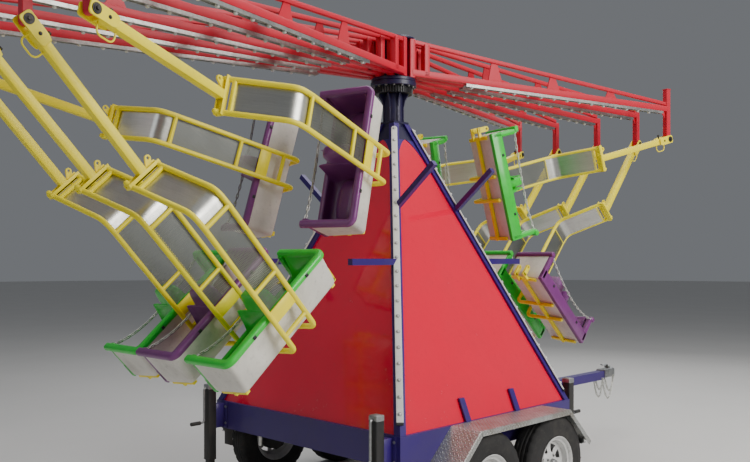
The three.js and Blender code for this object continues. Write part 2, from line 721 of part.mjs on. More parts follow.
// One two-seat tub: a shell with a wide rim round its back and sides, a thick frame round its low open
// front and a divider between the seats.
function tubBody() {
  const across = (outline, half) => {
    const points = outline.map(([back, down]) => new THREE.Vector2(back, -down));
    return solid(acrossY(new THREE.Shape(points), -half, half));
  };
  const outside = [
    [RIM_FRONT + 14, RIM_LEVEL],
    [RIM_FRONT + 22, TUB_FLOOR + FRONT_FOOT],
    [RIM_BACK - 58, TUB_FLOOR - 10],
    [RIM_BACK - 22, RIM_LEVEL],
  ];
  const wellFront = RIM_FRONT + RIM_WIDTH + 1;
  const wellTop = RIM_LEVEL - 60;
  const wellRim = RIM_BACK - WELL_LIP - 6;
  const hollow = [
    [wellFront, wellTop],
    [wellFront, TUB_FLOOR - 4],
    [RIM_BACK - WELL_BACK, TUB_FLOOR - 34],
    [wellRim, RIM_LEVEL],
    [wellRim, wellTop],
  ];
  const body = across(outside, TUB_HALF - 18);
  const rimOut = [
    [RIM_FRONT, RIM_LEVEL - RIM_HEIGHT / 2],
    [RIM_FRONT, RIM_LEVEL + RIM_HEIGHT / 2],
    [RIM_BACK, RIM_LEVEL + RIM_HEIGHT / 2],
    [RIM_BACK, RIM_LEVEL - RIM_HEIGHT / 2],
  ];
  const rim = across(rimOut, TUB_HALF);
  const wellHalf = TUB_HALF - RIM_WIDTH;
  const well = across(hollow, wellHalf);
  const frontLow = [RIM_FRONT, -TUB_HALF, -TUB_FLOOR - FRONT_FOOT];
  const front = solid(block(frontLow, [RIM_FRONT + RIM_WIDTH, TUB_HALF, -RIM_LEVEL]));
  const mouthLow = [RIM_FRONT - 10, -wellHalf, -RIM_LEVEL - MOUTH_DEPTH];
  const mouth = solid(block(mouthLow, [MOUTH_BACK, wellHalf, -RIM_LEVEL + MOUTH_RISE]));
  const dividerLow = [DIVIDER_FRONT, -DIVIDER_HALF, -TUB_FLOOR + 10];
  const dividerHigh = [RIM_BACK - 20, DIVIDER_HALF, -RIM_LEVEL + DIVIDER_RISE];
  const divider = solid(block(dividerLow, dividerHigh));
  return body.add(rim).add(front).subtract(well).subtract(mouth).add(divider);
}

const hangerShape = shell(hangerBody());
const tubShape = shell(tubBody());

// The arms of a group by step, counted in seat spacings round the hub from the middle arm.
const STEPS = [-2, -1, 0, 1, 2];
const ROWS = ["centre", "inner", "outer"];

// The yaw from its hub pin that brings a folded arm's tip to its place across the trailer.
function foldedYaw(step) {
  const pinX = PIN_CIRCLE * Math.sin(radians(SEAT_STEP * Math.abs(step)));
  const tipX = TIP_X[ROWS[Math.abs(step)]];
  return Math.sign(step) * Math.asin((tipX - pinX) / ARM_LENGTH);
}

// An arm's place in words, where `facing` is 1 on the rear group and -1 on the front one.
function placeName(step, facing) {
  const row = ROWS[Math.abs(step)];
  if (step === 0) return row;
  return step * facing > 0 ? `${row}_right` : `${row}_left`;
}

for (const [group, facing] of [["rear", 1], ["front", -1]]) {
  const side = new THREE.Group();
  side.rotation.z = facing > 0 ? 0 : Math.PI;
  hub.add(side);
  for (const step of STEPS) {
    const row = ROWS[Math.abs(step)];
    const name = `${group}_${placeName(step, facing)}`;
    const azimuth = radians(SEAT_STEP * step);
    const yaw = foldedYaw(step);
    const arm = new THREE.Group();
    arm.position.set(PIN_CIRCLE * Math.sin(azimuth), -PIN_CIRCLE * Math.cos(azimuth), 0);
    arm.rotation.z = yaw;
    side.add(arm);
    const dropTurn = row === "outer" ? 0 : -yaw;
    piece(`arm_${name}`, armBody(row === "outer", dropTurn), RED, arm);
    const swing = new THREE.Group();
    swing.position.set(0, -ARM_LENGTH, PIVOT_HEIGHT);
    swing.rotation.set(radians(SWING_IN[row]), 0, dropTurn, "ZXY");
    arm.add(swing);
    piece(`hanger_${name}`, hangerShape.clone(), YELLOW, swing);
    piece(`tub_${name}`, tubShape.clone(), WHITE, swing);
  }
}

export default root;
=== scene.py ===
"""A swing ride folded on its road trailer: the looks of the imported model.

Everything is in metres, in the frame of the CAD model: +Z up along the hub's axis, +Y towards the tow
hitch, +X to the trailer's right side. Shapes are worked out as whole arrays and put in the meshes at their
place, so every object sits unturned at the origin.
"""

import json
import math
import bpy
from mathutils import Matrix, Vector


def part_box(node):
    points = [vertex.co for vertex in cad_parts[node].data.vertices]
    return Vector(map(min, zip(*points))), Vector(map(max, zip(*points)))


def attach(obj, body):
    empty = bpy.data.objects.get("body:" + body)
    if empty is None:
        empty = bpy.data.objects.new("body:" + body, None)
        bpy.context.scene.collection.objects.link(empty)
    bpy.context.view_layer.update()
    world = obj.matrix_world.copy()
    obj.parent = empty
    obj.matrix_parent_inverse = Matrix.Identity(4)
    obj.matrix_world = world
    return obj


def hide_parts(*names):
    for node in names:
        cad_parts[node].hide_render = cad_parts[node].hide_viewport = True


bl_info = {
    "name": "Folded Swing Ride",
    "version": (1, 0, 0),
    "blender": (4, 5, 0),
    "location": "3D View > Sidebar > Swing Ride",
    "description": "Paintwork, seats, lights and fittings of a trailer mounted swing ride",
    "category": "Add Mesh",
}

import bpy
import numpy as np
from mathutils import Matrix

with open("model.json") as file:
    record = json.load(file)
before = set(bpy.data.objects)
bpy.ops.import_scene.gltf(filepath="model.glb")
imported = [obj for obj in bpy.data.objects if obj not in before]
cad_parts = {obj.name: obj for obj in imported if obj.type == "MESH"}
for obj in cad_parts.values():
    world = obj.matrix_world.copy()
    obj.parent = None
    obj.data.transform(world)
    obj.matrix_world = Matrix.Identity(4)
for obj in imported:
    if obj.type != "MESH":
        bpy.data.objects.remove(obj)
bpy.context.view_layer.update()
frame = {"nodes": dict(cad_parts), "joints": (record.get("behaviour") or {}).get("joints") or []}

GROUPS = ("rear", "front")
PLACES = ("outer_left", "inner_left", "centre", "inner_right", "outer_right")
SEATS = [f"{group}_{place}" for group in GROUPS for place in PLACES]
SIDES = (-1, 1)
CORNERS = {"rear_left": (-1, -1), "rear_right": (1, -1), "front_left": (-1, 1), "front_right": (1, 1)}
FACES = ("right", "front", "left", "rear")
JOINTS = {joint["name"]: joint for joint in frame["joints"]}
UPRIGHT = np.column_stack([(0, 1, 0), (0, 0, 1), (1, 0, 0)])

FRAME_TOP = 0.680
TOWER_BASE = 0.895
TOWER_TOP = 2.660
TOWER_TOP_HALF = 0.080
TOWER_LEAN = (TOWER_BASE - TOWER_TOP_HALF) / (TOWER_TOP - FRAME_TOP)
POST_SIZE = 0.050
PANEL_TOP = 2.540
PANEL_FACE = TOWER_BASE - 0.018
MAST_RADIUS = 0.072
HEAD_HALF = 0.078
RING_LOW = 2.8755
FLANGE_LOW = 2.9255
FLANGE_TOP = 2.960
HUB_BOTTOM = 2.9853
HUB_TOP = 3.275
PIN_CIRCLE = 0.140
ARM_LENGTH = 2.740
CHORD_BOTTOM = 2.995
CHORD_TOP = 3.045
PIVOT_HEIGHT = 2.750
WHEEL_PLACES = {"rear": -0.310, "front": 0.410}
WHEEL_X = 1.025
AXLE_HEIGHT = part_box("wheel_rear_right")[1].z / 2
TYRE_RADIUS = 0.328

TILTED_IN = {"centre": 42.5, "inner": 42.0, "outer": 75.0}
# The tubs' colours alternate, in the order of SEATS and round the hub alike.
LINER = dict(zip(SEATS, ("purple", "green") * 5))


def linear(red, green, blue):
    """A screen colour from 0 to 255 as the linear values that shaders use."""
    level = np.array([red, green, blue]) / 255
    low = level / 12.92
    high = ((level + 0.055) / 1.055) ** 2.4
    return tuple(float(value) for value in np.where(level < 0.04045, low, high))


# Shapes


def unit(vectors):
    """Each row divided by its own length."""
    vectors = np.asarray(vectors, float)
    return vectors / np.linalg.norm(vectors, axis=-1, keepdims=True)


def grid_faces(rows, columns, wrap_rows=False, wrap_columns=True):
    """Four-sided faces between neighbouring rows and columns of a grid of points."""
    row = np.arange(rows if wrap_rows else rows - 1)[:, None]
    column = np.arange(columns if wrap_columns else columns - 1)[None, :]
    next_row = (row + 1) % rows
    next_column = (column + 1) % columns
    faces = [row * columns + column, row * columns + next_column]
    faces += [next_row * columns + next_column, next_row * columns + column]
    return np.stack([np.broadcast_to(face, (row.size, column.size)).ravel() for face in faces], 1)


def part(points, *faces, made=None):
    """A body's points and faces, with the place each point is made at, for patterns to follow."""
    points = np.asarray(points, float).reshape(-1, 3)
    made = points.copy() if made is None else np.asarray(made, float).reshape(-1, 3)
    return {"points": points, "faces": [np.asarray(face, int) for face in faces], "made": made}


def outward(body):
    """The body with its faces turned out: the volume that they enclose, the sum of p0 . (p1 x p2) / 6 over
    all triangles, is positive when they point outwards."""
    points = body["points"] - body["points"].mean(0)
    volume = 0.0
    for faces in body["faces"]:
        first = points[faces[:, 0]]
        for k in range(1, faces.shape[1] - 1):
            volume += np.einsum("ij,ij->", first, np.cross(points[faces[:, k]], points[faces[:, k + 1]]))
    if volume < 0:
        body["faces"] = [faces[:, ::-1] for faces in body["faces"]]
    return body


def placed(body, axes, origin=(0, 0, 0)):
    """The body's points moved by p -> origin + axes . p, where the axes' columns are X, Y and Z."""
    points = body["points"] @ np.asarray(axes, float).T + np.asarray(origin, float)
    return {"points": points, "faces": body["faces"], "made": body["made"]}


def moved(body, origin):
    return placed(body, np.eye(3), origin)


def gathered(bodies):
    """Several bodies as one, with the faces of each counted on from the last."""
    count = 0
    faces = []
    for body in bodies:
        faces += [group + count for group in body["faces"]]
        count += len(body["points"])
    points = np.concatenate([body["points"] for body in bodies])
    made = np.concatenate([body["made"] for body in bodies])
    return {"points": points, "faces": faces, "made": made}


def repeated(body, axes, origins):
    """Copies of a body at many places at once: point(k, i) = origin_k + axes_k . p_i."""
    axes = np.asarray(axes, float)
    origins = np.asarray(origins, float)
    points = np.einsum("kab,ib->kia", axes, body["points"]) + origins[:, None]
    shift = (np.arange(len(origins)) * len(body["points"]))[:, None, None]
    faces = [(group[None] + shift).reshape(-1, group.shape[1]) for group in body["faces"]]
    made = np.broadcast_to(body["made"], points.shape)
    return part(points, *faces, made=made)


def points_at(line, run, stations):
    """Points of a line at given lengths along it."""
    return np.stack([np.interp(stations, run, axis) for axis in np.transpose(line)], 1)


def each_placed(bodies, axes, origin=(0, 0, 0)):
    return [placed(body, axes, origin) for body in bodies]


def scattered(body, axes, places):
    """Copies of a body at many places, all turned the same way."""
    return repeated(body, np.broadcast_to(axes, (len(places), 3, 3)), places)


def bearing(angle):
    """Each angle t as the pair (cos t, sin t)."""
    return np.stack([np.cos(angle), np.sin(angle)], -1)


def around(count):
    """Angles of equal steps round a circle."""
    return np.arange(count) * 2 * math.pi / count


def at_height(loop, height):
    """Places in X and Y set at a height."""
    return np.column_stack([loop, np.full(len(loop), height)])


def on_middle(run, height):
    """Places along the middle line X = 0 at the lengths Y of a run, at a height."""
    return np.column_stack([np.zeros(len(run)), run, np.full(len(run), height)])


def run_along(line):
    """The length of a line from its start to each of its points."""
    return np.concatenate([[0], np.cumsum(np.linalg.norm(np.diff(line, axis=0), axis=1))])


def ring_points(radius, height, angle):
    """Points (r cos t, r sin t, h), a row of them for each radius and height."""
    radius, height, angle = np.broadcast_arrays(radius, height, angle)
    return np.stack([radius * np.cos(angle), radius * np.sin(angle), height], -1)


def on_edge(angle):
    """Axes as columns that stand an outline of (out, up) on edge, turned about Z by an angle."""
    out = np.array([math.cos(angle), math.sin(angle), 0])
    return np.column_stack([out, (0, 0, 1), np.cross(out, (0, 0, 1))])


def circle(radius, count, turn=0.0):
    return radius * bearing(turn + around(count))


def rounded_rectangle(width, height, radius, steps=2):
    """A rectangle whose corners are arcs of the radius."""
    radius = min(radius, 0.499 * width, 0.499 * height)
    corner = np.arange(steps + 1) * (math.pi / 2) / steps
    centres = np.array([[1, 1], [-1, 1], [-1, -1], [1, -1]]) * [width / 2 - radius, height / 2 - radius]
    turn = (np.arange(4) * math.pi / 2)[:, None] + corner[None]
    arcs = centres[:, None] + radius * bearing(turn)
    return arcs.reshape(-1, 2)


def filleted(points, radius, steps):
    """A broken line whose corners are arcs: p = a + r sin(t) d + r (1 - cos(t)) n, from the point a where
    the arc leaves the line along d, towards n, with t from nothing to the corner's turn."""
    points = [np.asarray(point, float) for point in points]
    radii = radius if np.iterable(radius) else [radius] * len(points)
    line = [points[0][None]]
    for i in range(1, len(points) - 1):
        before = unit(points[i] - points[i - 1])
        after = unit(points[i + 1] - points[i])
        turn = math.acos(float(np.clip(before @ after, -1, 1)))
        if turn < 1e-3:
            line.append(points[i][None])
            continue
        room = min(np.linalg.norm(points[i] - points[i - 1]), np.linalg.norm(points[i + 1] - points[i]))
        arc = min(radii[i], 0.49 * room / math.tan(turn / 2))
        normal = unit(after - (after @ before) * before)
        start = points[i] - before * arc * math.tan(turn / 2)
        angle = (turn * np.arange(steps + 1) / steps)[:, None]
        line.append(start + arc * (np.sin(angle) * before + (1 - np.cos(angle)) * normal))
    line.append(points[-1][None])
    return np.concatenate(line)


def sweep(path, section, up=(0, 0, 1), closed=False, end="soft", soft=0.002):
    """A closed section carried along a path. With the tangent t at a point p of the path, the side
    s = t x up and the rise r = s x t, a point (a, b) of the section comes to p + a m s + b r, where m, the
    mitre, is 1 over the cosine of half the bend. An end is soft, with its last edge set in a little, or
    round, as half a ball."""
    path = np.asarray(path, float)
    section = np.asarray(section, float)
    if closed:
        before = unit(path - np.roll(path, 1, 0))
        after = unit(np.roll(path, -1, 0) - path)
    else:
        step = unit(np.diff(path, axis=0))
        before = np.concatenate([step[:1], step])
        after = np.concatenate([step, step[-1:]])
    tangent = unit(before + after)
    mitre = 1 / np.maximum(np.einsum("ij,ij->i", tangent, before), 0.3)
    side = unit(np.cross(tangent, np.asarray(up, float)))
    rise = np.cross(side, tangent)
    index = np.arange(len(path))
    shift = np.zeros(len(path))
    scale = np.ones(len(path))
    if not closed:
        size = float(np.abs(section).max())
        if end == "round":
            angle = np.append(np.linspace(1.35, 0.35, 4), 0)
            lead_shift, lead_scale = -size * np.sin(angle), np.cos(angle)
        else:
            lead_shift, lead_scale = np.array([0, soft]), np.array([1 - soft / size, 1])
        count = len(lead_shift)
        index = np.concatenate([np.zeros(count, int), index[1:-1], np.full(count, len(path) - 1)])
        shift = np.concatenate([lead_shift, shift[1:-1], -lead_shift[::-1]])
        scale = np.concatenate([lead_scale, scale[1:-1], lead_scale[::-1]])
    across = section[None, :, :1] * (side * mitre[:, None])[index][:, None]
    high = section[None, :, 1:] * rise[index][:, None]
    middle = path[index] + tangent[index] * shift[:, None]
    rings = middle[:, None] + (across + high) * scale[:, None, None]
    made = np.zeros(rings.shape)
    made[..., 0] = run_along(np.vstack([section[-1], section]))[1:]
    made[..., 1] = run_along(path)[index][:, None]
    if closed:
        return outward(part(rings, grid_faces(*rings.shape[:2], wrap_rows=True), made=made))
    return loft(rings, made=made)


def beam(start, end, width, height, up, round_off, soft=0.002):
    """A straight bar of rounded rectangular section; its height is along up."""
    return sweep([start, end], rounded_rectangle(width, height, round_off), up, soft=soft)


def rod(start, end, radius, count=12, soft=0.0015):
    """A straight round bar."""
    along = unit(np.subtract(end, start))
    up = (0, 0, 1) if abs(along[2]) < 0.9 else (1, 0, 0)
    return sweep([start, end], circle(radius, count), up, soft=soft)


def block(corner, opposite, round_off=0.004, soft=0.002):
    """A box between two opposite corners with softened edges, made as a bar along its longest side."""
    low, high = np.minimum(corner, opposite), np.maximum(corner, opposite)
    size = high - low
    along = int(np.argmax(size))
    start = (low + high) / 2
    end = start.copy()
    start[along] = low[along]
    end[along] = high[along]
    rise = (along + 1) % 3
    width = size[(along + 2) % 3]
    height = size[rise]
    return beam(start, end, width, height, np.eye(3)[rise], min(round_off, width / 4, height / 4), soft)


def loft(rings, cap_start=True, made=None):
    """Closed rings of the same number of points joined in order, with flat ends, or open at the start."""
    rings = np.asarray(rings, float)
    rows, columns = rings.shape[:2]
    faces = [grid_faces(rows, columns)]
    if cap_start:
        faces.append(np.arange(columns)[None, ::-1])
    faces.append((rows - 1) * columns + np.arange(columns)[None])
    return outward(part(rings, *faces, made=made))


def turned(profile, steps, closed=False):
    """A profile of (radius, height) points turned about Z: (r cos t, r sin t, h). A radius of nothing at
    an end of it is one point, met by triangles."""
    profile = np.asarray(profile, float)
    start_pole = not closed and profile[0, 0] < 1e-9
    end_pole = not closed and profile[-1, 0] < 1e-9
    rings = profile[int(start_pole) : len(profile) - int(end_pole)]
    points = ring_points(rings[:, :1], rings[:, 1:], around(steps)).reshape(-1, 3)
    faces = [grid_faces(len(rings), steps, wrap_rows=closed)]
    ring = np.arange(steps)
    after = (ring + 1) % steps
    count = len(points)
    if start_pole:
        points = np.concatenate([points, [[0, 0, profile[0, 1]]]])
        faces.append(np.stack([np.full(steps, count), after, ring], 1))
        count += 1
    if end_pole:
        last = (len(rings) - 1) * steps
        points = np.concatenate([points, [[0, 0, profile[-1, 1]]]])
        faces.append(np.stack([np.full(steps, count), last + ring, last + after], 1))
    return outward(part(points, *faces))


def drawn_in(loop, distance):
    """A closed outline moved in by a distance, each corner along the line that halves its angle."""
    loop = np.asarray(loop, float)
    along = unit(unit(loop - np.roll(loop, 1, 0)) + unit(np.roll(loop, -1, 0) - loop))
    ahead = np.roll(loop, -1, 0)
    area = np.sum(loop[:, 0] * ahead[:, 1] - loop[:, 1] * ahead[:, 0])
    return loop + np.stack([-along[:, 1], along[:, 0]], 1) * distance * math.copysign(1, area)


def plate(outline, thickness, edge=0.0015):
    """An outline in X and Y as a plate in Z, with its edges eased."""
    outline = np.asarray(outline, float)
    less = drawn_in(outline, edge)
    levels = [(0, less), (edge, outline), (thickness - edge, outline), (thickness, less)]
    return loft([at_height(ring, height) for height, ring in levels])


def holed_plate(outline, hole, thickness):
    """A plate between an outline and a hole with as many points: four rings joined round."""
    levels = ((outline, 0), (outline, thickness), (hole, thickness), (hole, 0))
    rings = [at_height(loop, height) for loop, height in levels]
    return outward(part(np.concatenate(rings), grid_faces(4, len(outline), wrap_rows=True)))


def hexagon_head(size, height):
    """A bolt head on a thin washer, standing up from the origin."""
    washer = turned([(0, 0), (size * 0.95, 0), (size * 0.95, height * 0.25), (0, height * 0.25)], 14)
    head = sweep([(0, 0, height * 0.25), (0, 0, height)], circle(size * 0.6, 6), (1, 0, 0), soft=size * 0.1)
    return gathered([washer, head])


def facing(direction):
    """Axes whose Z points in a direction, as columns."""
    z = unit(direction)
    x = unit(np.cross((0, 0, 1) if abs(z[2]) < 0.9 else (0, 1, 0), z))
    return np.column_stack([x, np.cross(z, x), z])


def bolts(places, direction, size, height):
    return scattered(hexagon_head(size, height), facing(direction), places)


def hanging(start, end, sag, count):
    """A slack line between two points: straight between them, less 4 sag t (1 - t) in height."""
    t = np.linspace(0, 1, count)[:, None]
    line = (1 - t) * np.asarray(start, float) + t * np.asarray(end, float)
    line[:, 2] -= 4 * sag * (t * (1 - t))[:, 0]
    return line


def link_chain(line, pitch, wire):
    """Links along a line, each a flattened ring of wire turned a quarter from the last."""
    run = run_along(line)
    count = max(2, int(round(run[-1] / pitch)))
    places = (np.arange(count) + 0.5) * run[-1] / count
    behind, middles, ahead = [points_at(line, run, places + shift * pitch) for shift in (-0.5, 0, 0.5)]
    along = unit(ahead - behind)
    level = unit(np.cross(along, (0.3, 0.2, 1.0)))
    other = np.cross(along, level)
    odd = (np.arange(count) % 2 == 1)[:, None]
    side = np.where(odd, other, level)
    reach = pitch / 2 + wire
    half = 1.6 * wire
    loop = np.array([[reach - half, -half], [reach, -0.4 * half], [reach, 0.4 * half], [reach - half, half]])
    loop = np.concatenate([loop, -loop])
    link = sweep(at_height(loop, 0), circle(wire, 4, math.pi / 4), (0, 0, 1), closed=True)
    axes = np.stack([along, side, np.cross(along, side)], 2)
    return repeated(link, axes, middles)


# Meshes


def make(name, bodies, finish, rides, stands_for=(), sharp=32.0):
    """Puts bodies in one mesh at their place, smooth but for edges sharper than an angle in degrees."""
    body = gathered(bodies) if isinstance(bodies, list) else bodies
    points = body["points"]
    mesh = bpy.data.meshes.new(name)
    mesh.vertices.add(len(points))
    mesh.vertices.foreach_set("co", points.astype(np.float32).ravel())
    sizes = np.concatenate([np.full(len(faces), faces.shape[1]) for faces in body["faces"]])
    corners = np.concatenate([faces.ravel() for faces in body["faces"]])
    starts = np.concatenate([[0], np.cumsum(sizes)[:-1]])
    mesh.loops.add(len(corners))
    mesh.loops.foreach_set("vertex_index", corners.astype(np.int32))
    mesh.polygons.add(len(sizes))
    mesh.polygons.foreach_set("loop_start", starts.astype(np.int32))
    mesh.polygons.foreach_set("loop_total", sizes.astype(np.int32))
    mesh.polygons.foreach_set("use_smooth", np.ones(len(sizes), bool))
    mesh.update(calc_edges=True)
    made_at = mesh.attributes.new("made_at", "FLOAT_VECTOR", "POINT")
    made_at.data.foreach_set("vector", body["made"].astype(np.float32).ravel())
    mesh.set_sharp_from_angle(angle=math.radians(sharp))
    if mesh.validate():
        raise RuntimeError(f"{name}: its mesh had faulty faces")
    mesh.materials.append(finish_of(finish))
    piece = bpy.data.objects.new(name, mesh)
    bpy.context.scene.collection.objects.link(piece)
    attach(piece, rides)
    if stands_for:
        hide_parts(*stands_for)
    return piece


def dress(node, finish):
    """Gives a CAD node that keeps its own shape a finish."""
    mesh = frame["nodes"][node].data
    mesh.materials.clear()
    mesh.materials.append(finish_of(finish))


# Finishes


class Wiring:
    """A short way to add linked nodes to a node tree. A socket is named with low lines for spaces, or
    by its number, as in_0."""

    def __init__(self, tree):
        self.tree = tree

    def add(self, kind, settings=None, **sockets):
        node = self.tree.nodes.new(kind)
        for key, value in (settings or {}).items():
            setattr(node, key, value)
        for key, value in sockets.items():
            place = int(key[3:]) if key.startswith("in_") else key.replace("_", " ")
            self.feed(node.inputs[place], value)
        return node

    def feed(self, socket, value):
        if isinstance(value, bpy.types.NodeSocket):
            self.tree.links.new(value, socket)
        else:
            socket.default_value = value

    def math(self, operation, *values, clamp=False):
        settings = {"operation": operation, "use_clamp": clamp}
        numbers = {f"in_{k}": value for k, value in enumerate(values)}
        return self.add("ShaderNodeMath", settings, **numbers).outputs[0]

    def plus(self, first, second):
        return self.math("ADD", first, second)

    def minus(self, first, second):
        return self.math("SUBTRACT", first, second)

    def times(self, first, second):
        return self.math("MULTIPLY", first, second)

    def over(self, first, second):
        return self.math("DIVIDE", first, second)

    def fract(self, value):
        return self.math("FRACT", value)

    def mix(self, factor, first, second):
        node = self.add("ShaderNodeMix", {"data_type": "RGBA"}, Factor=factor, A=first, B=second)
        return node.outputs["Result"]

    def between(self, value, low, high, to_low=0.0, to_high=1.0):
        numbers = {f"in_{k}": number for k, number in enumerate((value, low, high, to_low, to_high))}
        return self.add("ShaderNodeMapRange", {"clamp": True}, **numbers).outputs[0]

    def noise(self, vector, scale, detail, roughness):
        sockets = {"Vector": vector, "Scale": scale, "Detail": detail, "Roughness": roughness}
        return self.add("ShaderNodeTexNoise", **sockets).outputs["Fac"]

    def scaled(self, vector, factors):
        settings = {"operation": "MULTIPLY"}
        return self.add("ShaderNodeVectorMath", settings, in_0=vector, in_1=factors).outputs[0]


def node_group(name, sockets, *results):
    """Makes a function of (wiring, inputs) that wires nodes into one that gives their node group, made at
    its first call. An input is a number, a colour, or a vector when it has no value of its own."""

    def shared(wire):
        def group():
            if name in bpy.data.node_groups:
                return bpy.data.node_groups[name]
            tree = bpy.data.node_groups.new(name, "ShaderNodeTree")
            for label, value in sockets.items():
                kind = "Vector" if value is None else "Color" if isinstance(value, tuple) else "Float"
                socket = tree.interface.new_socket(label, in_out="INPUT", socket_type=f"NodeSocket{kind}")
                if value is not None:
                    socket.default_value = value
            for label in results:
                kind = "Color" if label == "Color" else "Float"
                tree.interface.new_socket(label, in_out="OUTPUT", socket_type=f"NodeSocket{kind}")
            entry = tree.nodes.new("NodeGroupInput")
            leave = tree.nodes.new("NodeGroupOutput")
            for label, value in zip(results, wire(Wiring(tree), entry.outputs)):
                tree.links.new(value, leave.inputs[label])
            return tree

        return group

    return shared


GREY = (0.5, 0.5, 0.5, 1)
BROWN = (0.10, 0.085, 0.065, 1)


@node_group(
    "Road dirt",
    {"Vector": None, "Color": GREY, "Dirt": BROWN, "Scale": 2.0, "Amount": 0.2, "Roughness": 0.3},
    "Color",
    "Roughness",
)
def road_dirt(w, given):
    """Dust and dried splashes: soft clouds, a finer speckle, and more of both low on the trailer."""
    clouds = w.noise(given["Vector"], given["Scale"], 5.0, 0.62)
    speckle = w.noise(given["Vector"], w.times(given["Scale"], 14.0), 3.0, 0.6)
    height = w.add("ShaderNodeSeparateXYZ", in_0=given["Vector"]).outputs["Z"]
    low = w.between(height, 0.9, 0.3, 0.0, 0.35)
    cover = w.between(clouds, 0.48, 0.75)
    spots = w.between(speckle, 0.58, 0.72, 0.0, 0.6)
    mask = w.math("MULTIPLY", w.plus(w.plus(cover, spots), low), given["Amount"], clamp=True)
    return w.mix(mask, given["Color"], given["Dirt"]), w.between(mask, 0.0, 0.5, given["Roughness"], 0.75)


@node_group("Sprayed skin", {"Vector": None, "Peel": 0.1, "Wave": 0.5, "Wave scale": 3.0}, "Height")
def sprayed_skin(w, given):
    """The skin of sprayed paint: fine orange peel over a slow waviness of the plate."""
    peel = w.noise(given["Vector"], 420.0, 1.0, 0.4)
    wave = w.noise(given["Vector"], given["Wave scale"], 2.0, 0.5)
    return [w.plus(w.times(peel, given["Peel"]), w.times(wave, given["Wave"]))]


@node_group(
    "Chips and fade",
    {
        "Vector": None,
        "Color": GREY,
        "Faded": (0.6, 0.6, 0.6, 1),
        "Ground": (0.15, 0.12, 0.1, 1),
        "Scale": 3.0,
        "Fade": 0.3,
        "Chips": 0.5,
    },
    "Color",
)
def chips_and_fade(w, given):
    """Paint faded in patches, with small chips through to a dull ground."""
    patches = w.noise(given["Vector"], given["Scale"], 4.0, 0.6)
    pale = w.mix(w.between(patches, 0.35, 0.7, 0.0, given["Fade"]), given["Color"], given["Faded"])
    fine = w.noise(given["Vector"], w.times(given["Scale"], 22.0), 4.0, 0.7)
    broad = w.noise(given["Vector"], w.times(given["Scale"], 2.5), 2.0, 0.5)
    chance = w.times(w.between(broad, 0.5, 0.7), given["Chips"])
    chipped = w.math("GREATER_THAN", fine, w.minus(0.8, w.times(chance, 0.2)))
    return [w.mix(chipped, pale, given["Ground"])]


@node_group("Brushing", {"Vector": None}, "Grain")
def brushing(w, given):
    """The grain of brushed sheet: noise drawn out along Y."""
    fine = w.noise(w.scaled(given["Vector"], (900.0, 12.0, 900.0)), 1.0, 3.0, 0.6)
    broad = w.noise(w.scaled(given["Vector"], (60.0, 2.0, 60.0)), 1.0, 2.0, 0.5)
    return [w.plus(w.times(fine, 0.6), w.times(broad, 0.4))]


@node_group("Staggered spots", {"Vector": None, "Pitch": 0.01, "Radius": 0.36}, "Spot")
def staggered_spots(w, given):
    """Round spots in a triangular pattern on X and Y: the lesser distance to the middles of two offset
    rectangular grids, each a pitch wide and pitch times the root of three high."""
    places = w.add("ShaderNodeSeparateXYZ", in_0=given["Vector"]).outputs
    high = w.times(given["Pitch"], math.sqrt(3))

    def nearest(offset):
        x = w.minus(w.fract(w.plus(w.over(places["X"], given["Pitch"]), offset)), 0.5)
        y = w.minus(w.fract(w.plus(w.over(places["Y"], high), offset)), 0.5)
        y = w.times(y, math.sqrt(3))
        return w.math("SQRT", w.plus(w.times(x, x), w.times(y, y)))

    return [w.math("LESS_THAN", w.math("MINIMUM", nearest(0.0), nearest(0.5)), given["Radius"])]


@node_group("Tread bars", {"Vector": None, "Cell": 0.032}, "Height")
def tread_bars(w, given):
    """The raised lozenges of tread plate: on X and Y turned by 45 degrees, cells in which a long thin
    ellipse lies along one axis or the other by turns."""
    places = w.add("ShaderNodeSeparateXYZ", in_0=given["Vector"]).outputs
    a = w.over(w.plus(places["X"], places["Y"]), given["Cell"])
    b = w.over(w.minus(places["X"], places["Y"]), given["Cell"])
    turn = w.math("FLOORED_MODULO", w.plus(w.math("FLOOR", a), w.math("FLOOR", b)), 2.0)
    a = w.minus(w.fract(a), 0.5)
    b = w.minus(w.fract(b), 0.5)
    other = w.minus(1.0, turn)
    along = w.plus(w.times(a, turn), w.times(b, other))
    across = w.plus(w.times(b, turn), w.times(a, other))

    def squared(value, size):
        return w.math("POWER", w.math("ABSOLUTE", w.over(value, size)), 2.0)

    return [w.between(w.plus(squared(along, 0.47), squared(across, 0.15)), 1.15, 0.55)]


def new_finish(name, metallic=0.0, coat=0.0, coat_roughness=0.05, specular=0.5):
    """A material with its shader, whose numbers that are the same all over are set on the shader."""
    finish = bpy.data.materials.new(name)
    finish.use_nodes = True
    shader = finish.node_tree.nodes["Principled BSDF"]
    constants = {
        "Metallic": metallic,
        "Coat Weight": coat,
        "Coat Roughness": coat_roughness,
        "Specular IOR Level": specular,
        "IOR": 1.5,
    }
    for socket, value in constants.items():
        shader.inputs[socket].default_value = value
    return finish, Wiring(finish.node_tree), shader


def where_made(wiring):
    return wiring.add("ShaderNodeAttribute", {"attribute_name": "made_at"}).outputs["Vector"]


def where_it_is(wiring):
    return wiring.add("ShaderNodeTexCoord").outputs["Object"]


def bumped(wiring, shader, height, distance):
    bump = wiring.add("ShaderNodeBump", Height=height, Distance=distance)
    wiring.feed(shader.inputs["Normal"], bump.outputs["Normal"])


def use(wiring, group, **sockets):
    """A node of a group, its sockets named with low lines for spaces."""
    return wiring.add("ShaderNodeGroup", {"node_tree": group}, **sockets).outputs


def surfaced(wiring, shader, colour, roughness):
    wiring.feed(shader.inputs["Base Color"], colour)
    wiring.feed(shader.inputs["Roughness"], roughness)


